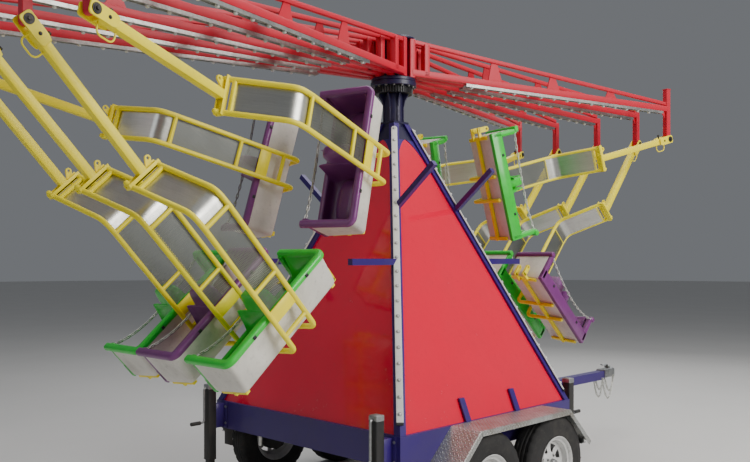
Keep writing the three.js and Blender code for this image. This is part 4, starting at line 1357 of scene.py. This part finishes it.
class SWINGRIDE_OT_coupler(bpy.types.Operator):
    """Pressed ball coupler with its latch, and the two tow chains that loop under it"""

    bl_idname = "swing_ride.coupler"
    bl_label = "Coupler"

    def execute(self, context):
        low = 0.535
        ball = 3.122
        nose = 0.048 * bearing(np.linspace(0, math.pi, 13)) + [0, ball]
        width = [0.050, 0.050, 0.043, 0.040, 0.044, 0.048]
        station = [2.951, 2.985, 3.005, 3.040, 3.070, 3.098]
        right = np.column_stack([width, station])
        outline = np.concatenate([right, nose, right[::-1] * [-1, 1]])
        levels = [(low, 0.004), (0.541, 0.0), (0.598, 0.0), (0.612, 0.005), (0.620, 0.018)]
        rings = [at_height(drawn_in(outline, inset), height) for height, inset in levels]
        hood = loft(rings, cap_start=False)
        inner = drawn_in(outline, 0.006)
        liner = loft([at_height(inner, height) for height in (low, 0.600)], cap_start=False)
        liner["faces"] = [faces[:, ::-1] for faces in liner["faces"]]
        lip = at_height(np.concatenate([drawn_in(outline, 0.004), inner]), low)
        lip = part(lip, grid_faces(2, len(outline))[:, ::-1])
        lever = [(0, 3.085, 0.618), (0, 3.065, 0.655), (0, 2.985, 0.650), (0, 2.955, 0.662)]
        latch = [sweep(filleted(lever, 0.015, 5), rounded_rectangle(0.006, 0.026, 0.002), (1, 0, 0))]
        latch.append(rod((-0.030, 3.078, 0.628), (0.030, 3.078, 0.628), 0.007, 12))
        for side in SIDES:
            latch.append(block((0.016 * side, 3.060, 0.612), (0.022 * side, 3.096, 0.640), 0.002, 0.001))
            heads = [(0.050 * side, 2.968, height) for height in (0.58, 0.545)]
            latch.append(bolts(heads, (side, 0, 0), 0.011, 0.008))
        bodies = [hood, liner, lip, *latch]
        make("coupler_pressing", bodies, "zinc", "trailer", ["hitch_coupler"])
        chains = []
        for side in SIDES:
            hook = (0.053 * side, 3.10, 0.545)
            slack = (0.048 * side, 2.90, 0.530)
            chains.append(link_chain(hanging(slack, hook, 0.20, 24), 0.030, 0.0038))
            short = (0.052 * side, 2.94, 0.533)
            chains.append(link_chain(hanging(short, hook, 0.13, 20), 0.030, 0.0038))
            chains.append(rod((0.034 * side, 2.90, 0.535), (0.060 * side, 2.90, 0.535), 0.008, 10))
            chains.append(rod((0.044 * side, 3.10, 0.548), (0.064 * side, 3.10, 0.548), 0.008, 10))
        make("tow_chains", chains, "chain", "trailer")
        return {"FINISHED"}


# Hub and arms


class SWINGRIDE_OT_hub(bpy.types.Operator):
    """The turning hub: two round plates on a core, with bolt circles"""

    bl_idname = "swing_ride.hub"
    bl_label = "Hub"

    def execute(self, context):
        low = HUB_BOTTOM - 0.025
        edge, eased, neck = 0.160, 0.156, 0.088
        core = [(0, low), (eased, low + 0.0003), (edge, low + 0.004), (edge, HUB_BOTTOM - 0.004)]
        core += [(eased, HUB_BOTTOM), (neck + 0.002, HUB_BOTTOM), (neck, HUB_BOTTOM + 0.003)]
        core += [(neck, HUB_TOP - 0.016), (eased, HUB_TOP - 0.0155), (edge, HUB_TOP - 0.012)]
        core += [(edge, HUB_TOP - 0.003), (0.157, HUB_TOP), (0, HUB_TOP)]
        # The hub takes the darker copy of the indigo, as painted shade.
        make("hub_drum", turned(core, 64), "shade_darkened_indigo", "rotor", ["hub"])
        pins = at_height(circle(PIN_CIRCLE, 10, -math.pi / 2), HUB_TOP - 0.004)
        make("hub_pin_heads", bolts(pins, (0, 0, 1), 0.013, 0.0035), "zinc", "rotor")
        return {"FINISHED"}


def top_chord(share):
    """Height of the top chord's middle at a share of the arm's length."""
    start = HUB_TOP - 0.0303
    return start + (CHORD_TOP + 0.020 - start) * share


def arm_web(share):
    """A leaning plate between the chords at a share of the arm's length, its lower edge further out."""
    out = -share * ARM_LENGTH
    rise = top_chord(share)
    low = CHORD_TOP - 0.004
    outline = [(out + 0.030, rise), (out + 0.062, low), (out - 0.075, low), (out - 0.020, rise)]
    return placed(moved(plate(outline, 0.009), (0, 0, -0.0045)), UPRIGHT)


def arm_frame_bodies():
    """The welded frame of an arm along -Y from its root: posts, chords, webs and a tie."""
    tie = 0.125
    tie_top = top_chord(tie / ARM_LENGTH)
    middle = (CHORD_BOTTOM + CHORD_TOP) / 2
    inner, outer = (0, -0.004, top_chord(0)), (0, -ARM_LENGTH + 0.02, top_chord(1))
    bodies = [
        beam((0, 0, HUB_BOTTOM + 0.0003), (0, 0, HUB_TOP - 0.0153), 0.046, 0.046, (0, 1, 0), 0.006),
        beam((0, -tie, CHORD_BOTTOM + 0.010), (0, -tie, tie_top), 0.050, 0.046, (0, 1, 0), 0.006),
        beam((0, 0.004, middle), (0, -ARM_LENGTH + 0.002, middle), 0.050, 0.050, (0, 0, 1), 0.007),
        beam(inner, outer, 0.030, 0.030, (0, 0, 1), 0.005),
    ]
    return bodies + [arm_web(share) for share in (0.28, 0.50, 0.74)]


def drop_post(tall):
    """The post at an arm's tip, about its own middle on the ground: a square tube with a rounded foot round
    the pin, a small gusset under the chord, and for a tall one a cap on top."""
    rise = CHORD_TOP + (0.150 if tall else 0.006)
    low = PIVOT_HEIGHT - 0.024
    half = 0.024
    corners = [(-half, low), (half, low), (half, rise), (-half, rise)]
    outline = rounded_loop(corners, [0, 0.020, 0.020, 0.004, 0.004, 0], 5)
    bodies = [placed(plate(outline, 2 * half, 0.004), UPRIGHT, (-half, 0, 0))]
    inner, top = half - 0.002, CHORD_BOTTOM + 0.004
    gusset = plate([(inner, CHORD_BOTTOM - 0.060), (0.085, top), (inner, top)], 0.006, 0.001)
    bodies.append(placed(gusset, UPRIGHT, (-0.003, 0, 0)))
    if tall:
        bodies.append(block((-0.027, -0.027, rise - 0.004), (0.027, 0.027, rise + 0.002), 0.003, 0.001))
    return bodies


def arm_light():
    """The light channel under an arm and its bulbs, hung below the chord."""
    low = CHORD_BOTTOM - 0.021
    start = -0.485
    end = -ARM_LENGTH + 0.065
    right = np.array([(0.015, 0.008), (0.016, 0), (0.020, 0), (0.020, 0.022)])
    section = np.concatenate([right[::-1] * [-1, 1], right])
    channel = sweep([(0, start, low), (0, end, low)], section, (0, 0, 1), soft=0.0005)
    run = np.arange(start - 0.06, end + 0.03, -sizes().arm_bulb_step)
    bulb = turned([(0, 0), (0.0135, 0), (0.0135, 0.010), (0.011, 0.017), (0.006, 0.0205), (0, 0.0215)], 14)
    return channel, scattered(bulb, np.diag([1.0, -1.0, -1.0]), on_middle(run, low + 0.008))


class SWINGRIDE_OT_arms(bpy.types.Operator):
    """Ten welded sweep arms with their drop posts and light channels"""

    bl_idname = "swing_ride.arms"
    bl_label = "Sweep arms"

    def execute(self, context):
        welded = arm_frame_bodies()
        channel, lamps = arm_light()
        for name in SEATS:
            origin, axes = arm_frame(name)
            tip = seat_origin(name) * [1, 1, 0]
            level = seat_axes(name, tilted=False)
            node = f"arm_{name}"
            body = arm_body(name)
            steel = each_placed(welded, axes, origin) + each_placed(drop_post("outer" in name), level, tip)
            make(f"{node}_steel", steel, "arm red", body, [node])
            make(f"{node}_channel", placed(channel, axes, origin), "silver", body)
            make(f"{node}_bulbs", placed(lamps, axes, origin), "bulb", body)
        return {"FINISHED"}


# Hangers


LADDER_HALF = 0.092
LADDER_BACK = 0.349
SHEET_BACK = 0.337
BEAM_END = 0.850
RUNGS = (1.150, 1.580, 1.878)
SHEET_END = 1.715
SHEET_HALF = 0.085
FORK_HEIGHT = -0.876
LUG_PLACES = (0.090, 0.170)


def in_plane(line, y):
    """A line of (back, down) points as places in a seat's frame at a distance towards the hub."""
    line = np.asarray(line, float)
    return np.column_stack([line[:, 0], np.full(len(line), y), -line[:, 1]])


def ladder_line():
    """A ladder rail: out from the beam, a wide bend, straight down behind the tub, and a rounded hook that
    goes back under it."""
    corners = [(0.0, 0.862), (0.338, 1.052), (LADDER_BACK, 1.150), (LADDER_BACK, 1.985)]
    corners += [(0.270, 1.9905), (0.004, 2.013)]
    return filleted(corners, [0, 0.16, 0.30, 0.055, 0.15, 0], 8)


def upper_line():
    """The line of the sheets, which lie on the rungs' seat side, down to the flat plate."""
    corners = [(0.034, 0.895), (0.330, 1.060), (SHEET_BACK, 1.152), (SHEET_BACK, SHEET_END)]
    return filleted(corners, [0, 0.16, 0.30, 0], 10)


def strip_along(line, thickness, start, end):
    """A flat band along a stretch of a line in (back, down), given by shares of its length."""
    run = run_along(line)
    start, end = start * run[-1], end * run[-1]
    stations = np.concatenate([[start], run[(run > start) & (run < end)], [end]])
    places = points_at(line, run, stations)
    section = rounded_rectangle(thickness, 2 * SHEET_HALF, thickness / 3, 1)
    return sweep(in_plane(places, 0.0), section, (0, 1, 0), soft=0.0008)


def lug_plate():
    """A rounded eye plate of a tub's end, standing up from the bar under it."""
    body = moved(eye_plate(0.062, 0.040, 0.011, 0.016, 7), (0, 0, -0.008))
    return placed(body, np.column_stack([(0, 0, 1), (0, 1, 0), (-1, 0, 0)]))


def hanger_bodies():
    """A hanger in its seat's frame: beam with cheek plates, T-plate and ear, rails, rungs, flat plate, and
    the bars and lugs under the tub."""
    tube = sizes().rail / 2
    bodies = [beam((0, 0, -0.041), (0, 0, -BEAM_END), 0.050, 0.050, (0, 1, 0), 0.006)]
    bodies.append(block((-0.032, -0.0252, -0.116), (0.032, 0.0252, -0.042)))
    left = [(-0.034, 0.034), (-0.034, -0.098), (-0.026, -0.128)]
    corners = left + [(-y, z) for y, z in reversed(left)]
    cheek = rounded_loop(corners, [0, 0.030, 0.01, 0.01, 0.01, 0.01, 0.030, 0], 5)
    cheek = moved(plate(cheek, 0.010, 0.002), (0, 0, -0.005))
    bodies.append(block((-0.026, -0.108, FORK_HEIGHT), (0.026, 0.108, FORK_HEIGHT + 0.014), 0.005, 0.002))
    ear = moved(eye_plate(0.062, 0.034, 0.009, 0.010, 6), (0, 0, -0.005))
    ear_axes = np.column_stack([(0, 0.55, 0.835), (0, -0.835, 0.55), (1, 0, 0)])
    bodies.append(placed(ear, ear_axes, (0, 0.040, -0.868)))
    spur = filleted([(0.030, 0.880), (0.004, 0.866), (-0.012, 0.842)], 0.02, 4)
    bodies.append(sweep(in_plane(spur, -LADDER_HALF), circle(tube * 0.98, 14), (0, 1, 0), end="round"))
    inner = LADDER_HALF - 0.4 * tube
    bodies.append(rod((0.046, -inner, -0.8885), (0.046, inner, -0.8885), tube * 0.9, 14))
    for down in RUNGS:
        bodies.append(rod((LADDER_BACK, -inner, -down), (LADDER_BACK, inner, -down), tube * 0.85, 14))
    near, far = LADDER_BACK - 0.005, LADDER_BACK + 0.005
    bodies.append(block((near, -0.080, -1.790), (far, 0.080, -SHEET_END), 0.002, 0.001))
    reach = 0.409
    keel = -1.9965
    bodies.append(block((0.118, -reach, keel - 0.016), (0.142, reach, keel + 0.010)))
    for side in SIDES:
        bodies.append(placed(cheek, UPRIGHT, (0.035 * side, 0, 0)))
        low, high = (0.020 * side, -0.108, FORK_HEIGHT), (0.026 * side, 0.108, FORK_HEIGHT + 0.030)
        bodies.append(block(low, high, 0.002, 0.001))
        rail = in_plane(ladder_line(), LADDER_HALF * side)
        bodies.append(sweep(rail, circle(tube, 14), (0, 1, 0), end="round"))
        y = (reach - 0.014) * side
        bodies.append(beam((0.010, y, -2.007), (0.250, y, -1.977), 0.028, 0.016, (0, 0, 1), 0.004))
    for back in LUG_PLACES:
        low = (back - 0.008, reach - 0.022, keel - 0.018)
        bodies.append(block(low, (back + 0.008, 0.481, keel + 0.006), 0.003, 0.0015))
        bodies.append(moved(lug_plate(), (back, 0.461, keel + 0.006)))
    return bodies


def hanger_fittings():
    """Black washers on the cheeks, the pivot bolt, a latch loop of thin rod and its peg."""
    bush = [rod((0.0395 * side, 0, 0), (0.0440 * side, 0, 0), 0.025, 28, soft=0.001) for side in SIDES]
    metal = [rod((-0.047, 0, 0), (0.047, 0, 0), 0.0155, 16)]
    metal.append(rod((0.0, 0.024, -0.10), (0.0, 0.062, -0.10), 0.006, 10))
    metal.append(rod((0.0, 0.050, -0.10), (0.0, 0.060, -0.10), 0.010, 12))
    for side in SIDES:
        metal.append(bolts([(0.0440 * side, 0, 0)], (side, 0, 0), 0.018, 0.010))
        metal.append(bolts([(0.0395 * side, 0, -0.075)], (side, 0, 0), 0.010, 0.0055))
    metal.append(bolts([(back, 0.404, -1.952) for back in LUG_PLACES], (0, 0, 1), 0.010, 0.006))
    loop = [(0, -0.020, -0.050), (0, -0.084, -0.050), (0, -0.084, -0.150), (0, -0.020, -0.150)]
    latch = [sweep(filleted(loop, 0.03, 6), circle(0.0045, 8), (1, 0, 0))]
    return bush, metal, latch


class SWINGRIDE_OT_hangers(bpy.types.Operator):
    """Ten yellow hangers: beam, ladder with bright and perforated sheets, bars and lugs under the tub"""

    bl_idname = "swing_ride.hangers"
    bl_label = "Hangers"

    def execute(self, context):
        yellow = hanger_bodies()
        bush, metal, latch = hanger_fittings()
        line = upper_line()
        length = run_along(line)[-1]
        bend, rung = [1 - (SHEET_END - down) / length for down in RUNGS[:2]]
        bright = [strip_along(line, 0.003, 0.0, bend)]
        screens = [
            strip_along(line, 0.002, bend + 0.008, rung - 0.008),
            strip_along(line, 0.002, rung + 0.008, 0.996),
        ]
        for name in SEATS:
            at = (seat_axes(name), seat_origin(name))
            body = f"seat_{name}"
            node = f"hanger_{name}"
            frame_bodies = each_placed(yellow + latch, *at)
            make(f"{node}_frame", frame_bodies, "yellow", body, [node])
            make(f"{node}_bushes", each_placed(bush, *at), "black", body)
            make(f"{node}_bolts", each_placed(metal, *at), "pin steel", body)
            make(f"{node}_sheet", each_placed(bright, *at), "brushed", body)
            make(f"{node}_screens", each_placed(screens, *at), "perforated", body)
        return {"FINISHED"}


# Tubs


RIM_LEVEL = -1.750
LIP_LEVEL = -1.905
FOOT_LEVEL = -2.003
SHELL_FRONT = -0.044
SHELL_DEEP = 0.352
SHELL_HALF = 0.417
WELL_MIDDLE = 0.2185


def smooth_step(value, low, high):
    t = np.clip((np.asarray(value, float) - low) / (high - low), 0, 1)
    return t * t * (3 - 2 * t)


def super_ring(half_back, half_along, power, count):
    """A rounded square ring: (a |cos t|^(2/n) sign, b |sin t|^(2/n) sign) with n the power."""
    wave = bearing(around(count) + math.pi / count)
    return np.sign(wave) * np.abs(wave) ** (2 / power) * [half_back, half_along]


def filled_in(loop, longest):
    """A closed outline with its long sides cut up evenly."""
    points = []
    for start, end in zip(loop, np.roll(loop, -1, 0)):
        pieces = max(1, int(math.ceil(np.linalg.norm(end - start) / longest)))
        points.append(start + (end - start) * (np.arange(pieces) / pieces)[:, None])
    return np.concatenate(points)


def tub_floor(back):
    """Height of the shell's underside: it rises evenly towards the back."""
    return FOOT_LEVEL + (back + 0.036) * 0.038 / 0.308


def tub_shell():
    """The outer shell: rounded rectangles in (back, along) that shift with the depth t. The front comes in
    by 8 t mm and the back by 36 t mm, and the top edge dips to the front lip between the ends."""
    edge = SHELL_FRONT + SHELL_DEEP
    corners = [(SHELL_FRONT, -SHELL_HALF), (edge, -SHELL_HALF), (edge, SHELL_HALF), (SHELL_FRONT, SHELL_HALF)]
    loop = filled_in(rounded_loop(corners, 0.028, 5), 0.035)
    share = (loop[:, 0] - SHELL_FRONT) / SHELL_DEEP
    dip = smooth_step(loop[:, 0], 0.0, -0.012) * smooth_step(np.abs(loop[:, 1]), 0.405, 0.388)
    top = RIM_LEVEL - 0.002 + (LIP_LEVEL - RIM_LEVEL) * dip
    rings = []
    for t, inset in ((0, 0), (0.02, 0), (0.35, 0), (0.70, 0), (0.94, 0.001), (0.985, 0.006), (1, 0.014)):
        front = SHELL_FRONT + 0.008 * t + inset
        back = front + share * (SHELL_DEEP - 0.044 * t - 2 * inset)
        along = loop[:, 1] * (1 - inset / SHELL_HALF)
        rings.append(np.column_stack([back, along, top + (tub_floor(back) - top) * t]))
    return loft(rings, cap_start=False)


def tub_bowl(side):
    """One seat's well: rounded square rings that shrink and sink from the rim to a nearly flat floor, the
    floor rising to the back as the shell's does, and the front edge dipping to the lip."""
    profile = [(1.0, 0.0), (0.995, 0.03), (0.975, 0.40), (0.955, 0.72), (0.92, 0.88), (0.86, 0.955)]
    profile += [(0.74, 0.985), (0.50, 0.995), (0.22, 1.0)]
    count = 112
    rings = []
    for scale, t in profile:
        ring = super_ring(0.1525, 0.1745, 7.0, count) * scale
        back = 0.139 + ring[:, 0] - 0.030 * t * smooth_step(ring[:, 0], 0.0, 0.15)
        dip = smooth_step(ring[:, 0], -0.125, -0.150) * smooth_step(np.abs(ring[:, 1]), 0.172, 0.160)
        top = RIM_LEVEL + (LIP_LEVEL - RIM_LEVEL) * dip
        height = top + (tub_floor(back) + 0.016 - top) * t
        rings.append(np.column_stack([back, WELL_MIDDLE * side + ring[:, 1], height]))
    points = np.concatenate(rings)
    last = (len(rings) - 1) * count
    ring = np.arange(count)
    pole = points[last:].mean(0)
    fan = np.stack([last + ring, last + (ring + 1) % count, np.full(count, len(points))], 1)
    return outward(part(np.concatenate([points, [pole]]), grid_faces(len(rings), count), fan))


def seat_pad(side):
    """A raised oval pad on the floor of a well: rings of a soft oval that rise as a flattened dome."""
    rings = []
    profile = [(0.96, -0.012), (1.0, 0.0), (0.985, 0.016), (0.93, 0.032), (0.82, 0.043)]
    profile += [(0.6, 0.050), (0.3, 0.053)]
    for scale, rise in profile:
        ring = super_ring(0.082, 0.150, 2.8, 40) * scale
        back = 0.125 + ring[:, 0]
        rings.append(np.column_stack([back, WELL_MIDDLE * side + ring[:, 1], tub_floor(back) + 0.017 + rise]))
    return loft(rings)


def centre_hump():
    """The moulded divider: a low sill at the front, and a tall rounded hump at the middle of the back. The
    hump's back comes forward with depth, as the shell's wall does, and its foot follows the rising floor."""
    rings = []
    shape = [(-1.985, 0.0, 0.0), (-1.80, 0.0, 0.0), (-1.74, 0.004, 0.001), (-1.69, 0.014, 0.004)]
    shape += [(-1.660, 0.028, 0.008), (-1.648, 0.046, 0.016), (-1.6455, 0.075, 0.028)]
    for height, less_back, less_along in shape:
        ring = super_ring(0.123 - less_back, 0.0435 - less_along, 4.0, 40)
        back = 0.183 + ring[:, 0] + 0.2 * less_back
        depth = np.clip((RIM_LEVEL - height) / (RIM_LEVEL + 1.965), 0.0, 1.0)
        back = back - 0.050 * depth * smooth_step(back, 0.06, 0.30)
        level = np.maximum(height, tub_floor(back) + 0.010)
        rings.append(np.column_stack([back, ring[:, 1], level]))
    section = rounded_rectangle(0.090, 0.070, 0.02, 4)
    sill = sweep([(-0.020, 0, -1.945), (0.10, 0, -1.945)], section, (0, 0, 1), soft=0.006)
    return [loft(rings), sill]


def tub_rim():
    """The thick rim round the ends and the back, and the frame of the open front: two posts and a band."""
    width = sizes().rim_width
    section = rounded_rectangle(width, sizes().rim_height, 0.015, 4)
    front = -0.054
    out = 0.435 - width / 2
    back = 0.330 - width / 2
    line = filleted([(front, -out), (back, -out), (back, out), (front, out)], 0.036, 7)
    rim = sweep(at_height(line, RIM_LEVEL), section, (0, 0, 1), soft=0.006)
    band = block((-0.048, -0.4165, FOOT_LEVEL), (-0.013, 0.4165, LIP_LEVEL + 0.005), 0.010, 0.004)
    posts = []
    for side in SIDES:
        foot = (-0.0275, 0.396 * side)
        post = beam((*foot, RIM_LEVEL), (*foot, FOOT_LEVEL + 0.02), 0.041, 0.041, (1, 0, 0), 0.010)
        posts.append(post)
    return [rim, band, *posts]


def tub_clasps():
    """Small black clasps along the back of the rim and on the band of the front."""
    bodies = []
    for y in (-0.22, 0.24):
        for back, low, high in ((-0.0525, -1.940, -1.922), (0.3285, RIM_LEVEL - 0.012, RIM_LEVEL + 0.006)):
            bodies.append(block((back, y - 0.010, low), (back + 0.006, y + 0.010, high), 0.002, 0.001))
    return bodies


def hardened(piece, thickness, offset):
    """Gives an open surface a wall's thickness."""
    wall = piece.modifiers.new("wall", "SOLIDIFY")
    wall.thickness = thickness
    wall.offset = offset


class SWINGRIDE_OT_tubs(bpy.types.Operator):
    """Ten moulded tubs: pale shell, coloured wells, pads, hump and rim, with clasps"""

    bl_idname = "swing_ride.tubs"
    bl_label = "Tubs"

    def execute(self, context):
        shell = tub_shell()
        bowls = [tub_bowl(side) for side in SIDES]
        inside = [*tub_rim(), *centre_hump(), *[seat_pad(side) for side in SIDES]]
        clasps = tub_clasps()
        for name in SEATS:
            at = (seat_axes(name), seat_origin(name))
            body = f"seat_{name}"
            node = f"tub_{name}"
            colour = LINER[name]
            outer = make(f"{node}_shell", placed(shell, *at), "shell", body, [node])
            hardened(outer, 0.005, -1.0)
            hardened(make(f"{node}_wells", each_placed(bowls, *at), colour, body), 0.004, 1.0)
            make(f"{node}_rim", each_placed(inside, *at), colour, body)
            make(f"{node}_clasps", each_placed(clasps, *at), "black", body)
        return {"FINISHED"}


class SWINGRIDE_OT_chains(bpy.types.Operator):
    """The slack link chain across the open front of each tub, with an eye at each end"""

    bl_idname = "swing_ride.chains"
    bl_label = "Seat chains"

    def execute(self, context):
        near = np.array([-0.036, -0.380, RIM_LEVEL - 0.014])
        far = near * [1, -1, 1]
        eye = sweep(at_height(circle(0.011, 12), 0), circle(0.003, 6), (0, 0, 1), closed=True)
        turned_up = np.column_stack([(1, 0, 0), (0, 0, 1), (0, -1, 0)])
        eyes = [placed(eye, turned_up, place) for place in (near, far)]
        for name in SEATS:
            axes = seat_axes(name)
            origin = seat_origin(name)
            line = hanging(axes @ near + origin, axes @ far + origin, 0.085, 40)
            links = link_chain(line, sizes().link_pitch, sizes().link_wire)
            bodies = [links, *each_placed(eyes, axes, origin)]
            make(f"seat_chain_{name}", bodies, "chain", f"seat_{name}")
        return {"FINISHED"}


# Stage


def stood(name, data, axes, place):
    """A new object at a place, its axes given as columns."""
    matrix = np.eye(4)
    matrix[:3, :3] = axes
    matrix[:3, 3] = place
    holder = bpy.data.objects.new(name, data)
    holder.matrix_world = Matrix(matrix.tolist())
    bpy.context.scene.collection.objects.link(holder)
    return holder


def area_light(name, place, aim, width, height, power, colour=(1, 1, 1)):
    lamp = bpy.data.lights.new(name, "AREA")
    lamp.shape = "RECTANGLE"
    lamp.size = width
    lamp.size_y = height
    lamp.energy = power
    lamp.color = colour
    z = unit(np.subtract(place, aim))
    x = unit(np.cross((0, 0, 1), z))
    stood(name, lamp, np.column_stack([x, np.cross(z, x), z]), place)


# The photograph's width, focal length and horizon shift, in pixels
PHOTO_WIDTH = 750
FOCAL_LENGTH = 829.0
HORIZON_SHIFT = 27.0


class SWINGRIDE_OT_stage(bpy.types.Operator):
    """Pale floor, soft studio light, and a camera at the photograph's place"""

    bl_idname = "swing_ride.stage"
    bl_label = "Stage"

    def execute(self, context):
        rings = np.concatenate([[0.0], np.geomspace(1.5, 60.0, 12)])
        disc = turned(at_height(rings, 0), 48)
        mesh = bpy.data.meshes.new("floor")
        faces = [face for group in disc["faces"] for face in group.tolist()]
        mesh.from_pydata(disc["points"].tolist(), [], faces)
        mesh.update()
        finish, w, shader = new_finish("pale_floor", specular=0.2)
        tone = w.noise(where_it_is(w), 0.8, 4.0, 0.5)
        w.feed(shader.inputs["Base Color"], w.mix(tone, (0.66, 0.65, 0.63, 1), (0.72, 0.71, 0.69, 1)))
        shader.inputs["Roughness"].default_value = 0.85
        mesh.materials.append(finish)
        floor = bpy.data.objects.new("floor", mesh)
        bpy.context.scene.collection.objects.link(floor)
        world = bpy.data.worlds.new("studio")
        world.use_nodes = True
        sky = world.node_tree.nodes["Background"]
        sky.inputs["Color"].default_value = (0.80, 0.84, 0.90, 1)
        sky.inputs["Strength"].default_value = 0.20
        bpy.context.scene.world = world
        area_light("key", (8.5, 1.5, 6.0), (0, 0, 1.4), 5.0, 5.0, 820, (1.0, 0.98, 0.95))
        area_light("fill", (-1.0, -9.0, 7.0), (0, 0, 1.5), 5.0, 4.0, 90, (0.92, 0.96, 1.0))
        area_light("top", (0.0, 1.6, 8.0), (0, 0, 1.0), 8.0, 8.0, 430)
        area_light("back", (-3.0, 8.0, 5.0), (0, 0, 1.8), 5.0, 3.0, 110)
        camera = bpy.data.cameras.new("camera")
        camera.sensor_width = 36.0
        camera.lens = FOCAL_LENGTH / PHOTO_WIDTH * camera.sensor_width
        camera.shift_y = HORIZON_SHIFT / PHOTO_WIDTH
        camera.clip_end = 200.0
        axes = np.column_stack([(0.713, 0.701, 0), (0, 0, 1), (0.701, -0.713, 0)])
        bpy.context.scene.camera = stood("camera", camera, axes, (4.10, -4.36, 1.6995))
        return {"FINISHED"}


OPERATORS = (
    SWINGRIDE_OT_tower,
    SWINGRIDE_OT_mast,
    SWINGRIDE_OT_channels,
    SWINGRIDE_OT_deck,
    SWINGRIDE_OT_fenders,
    SWINGRIDE_OT_wheels,
    SWINGRIDE_OT_jacks,
    SWINGRIDE_OT_coupler,
    SWINGRIDE_OT_hub,
    SWINGRIDE_OT_arms,
    SWINGRIDE_OT_hangers,
    SWINGRIDE_OT_tubs,
    SWINGRIDE_OT_chains,
    SWINGRIDE_OT_stage,
)


class SWINGRIDE_PT_panel(bpy.types.Panel):
    """Settings and operators of the swing ride"""

    bl_label = "Swing Ride"
    bl_idname = "SWINGRIDE_PT_panel"
    bl_space_type = "VIEW_3D"
    bl_region_type = "UI"
    bl_category = "Swing Ride"

    def draw(self, context):
        for settings in (context.scene.ride_paints, context.scene.ride_sizes):
            box = self.layout.box()
            for key in settings.bl_rna.properties.keys():
                if key not in ("rna_type", "name"):
                    box.prop(settings, key)
        for operator in OPERATORS:
            self.layout.operator(operator.bl_idname)


CLASSES = (RidePaints, RideSizes, *OPERATORS, SWINGRIDE_PT_panel)


def register():
    for cls in CLASSES:
        bpy.utils.register_class(cls)
    bpy.types.Scene.ride_paints = bpy.props.PointerProperty(type=RidePaints)
    bpy.types.Scene.ride_sizes = bpy.props.PointerProperty(type=RideSizes)


def unregister():
    del bpy.types.Scene.ride_sizes
    del bpy.types.Scene.ride_paints
    for cls in reversed(CLASSES):
        bpy.utils.unregister_class(cls)


def main():
    register()
    for operator in OPERATORS:
        getattr(bpy.ops.swing_ride, operator.bl_idname.split(".")[1])()


if __name__ == "__main__":
    main()
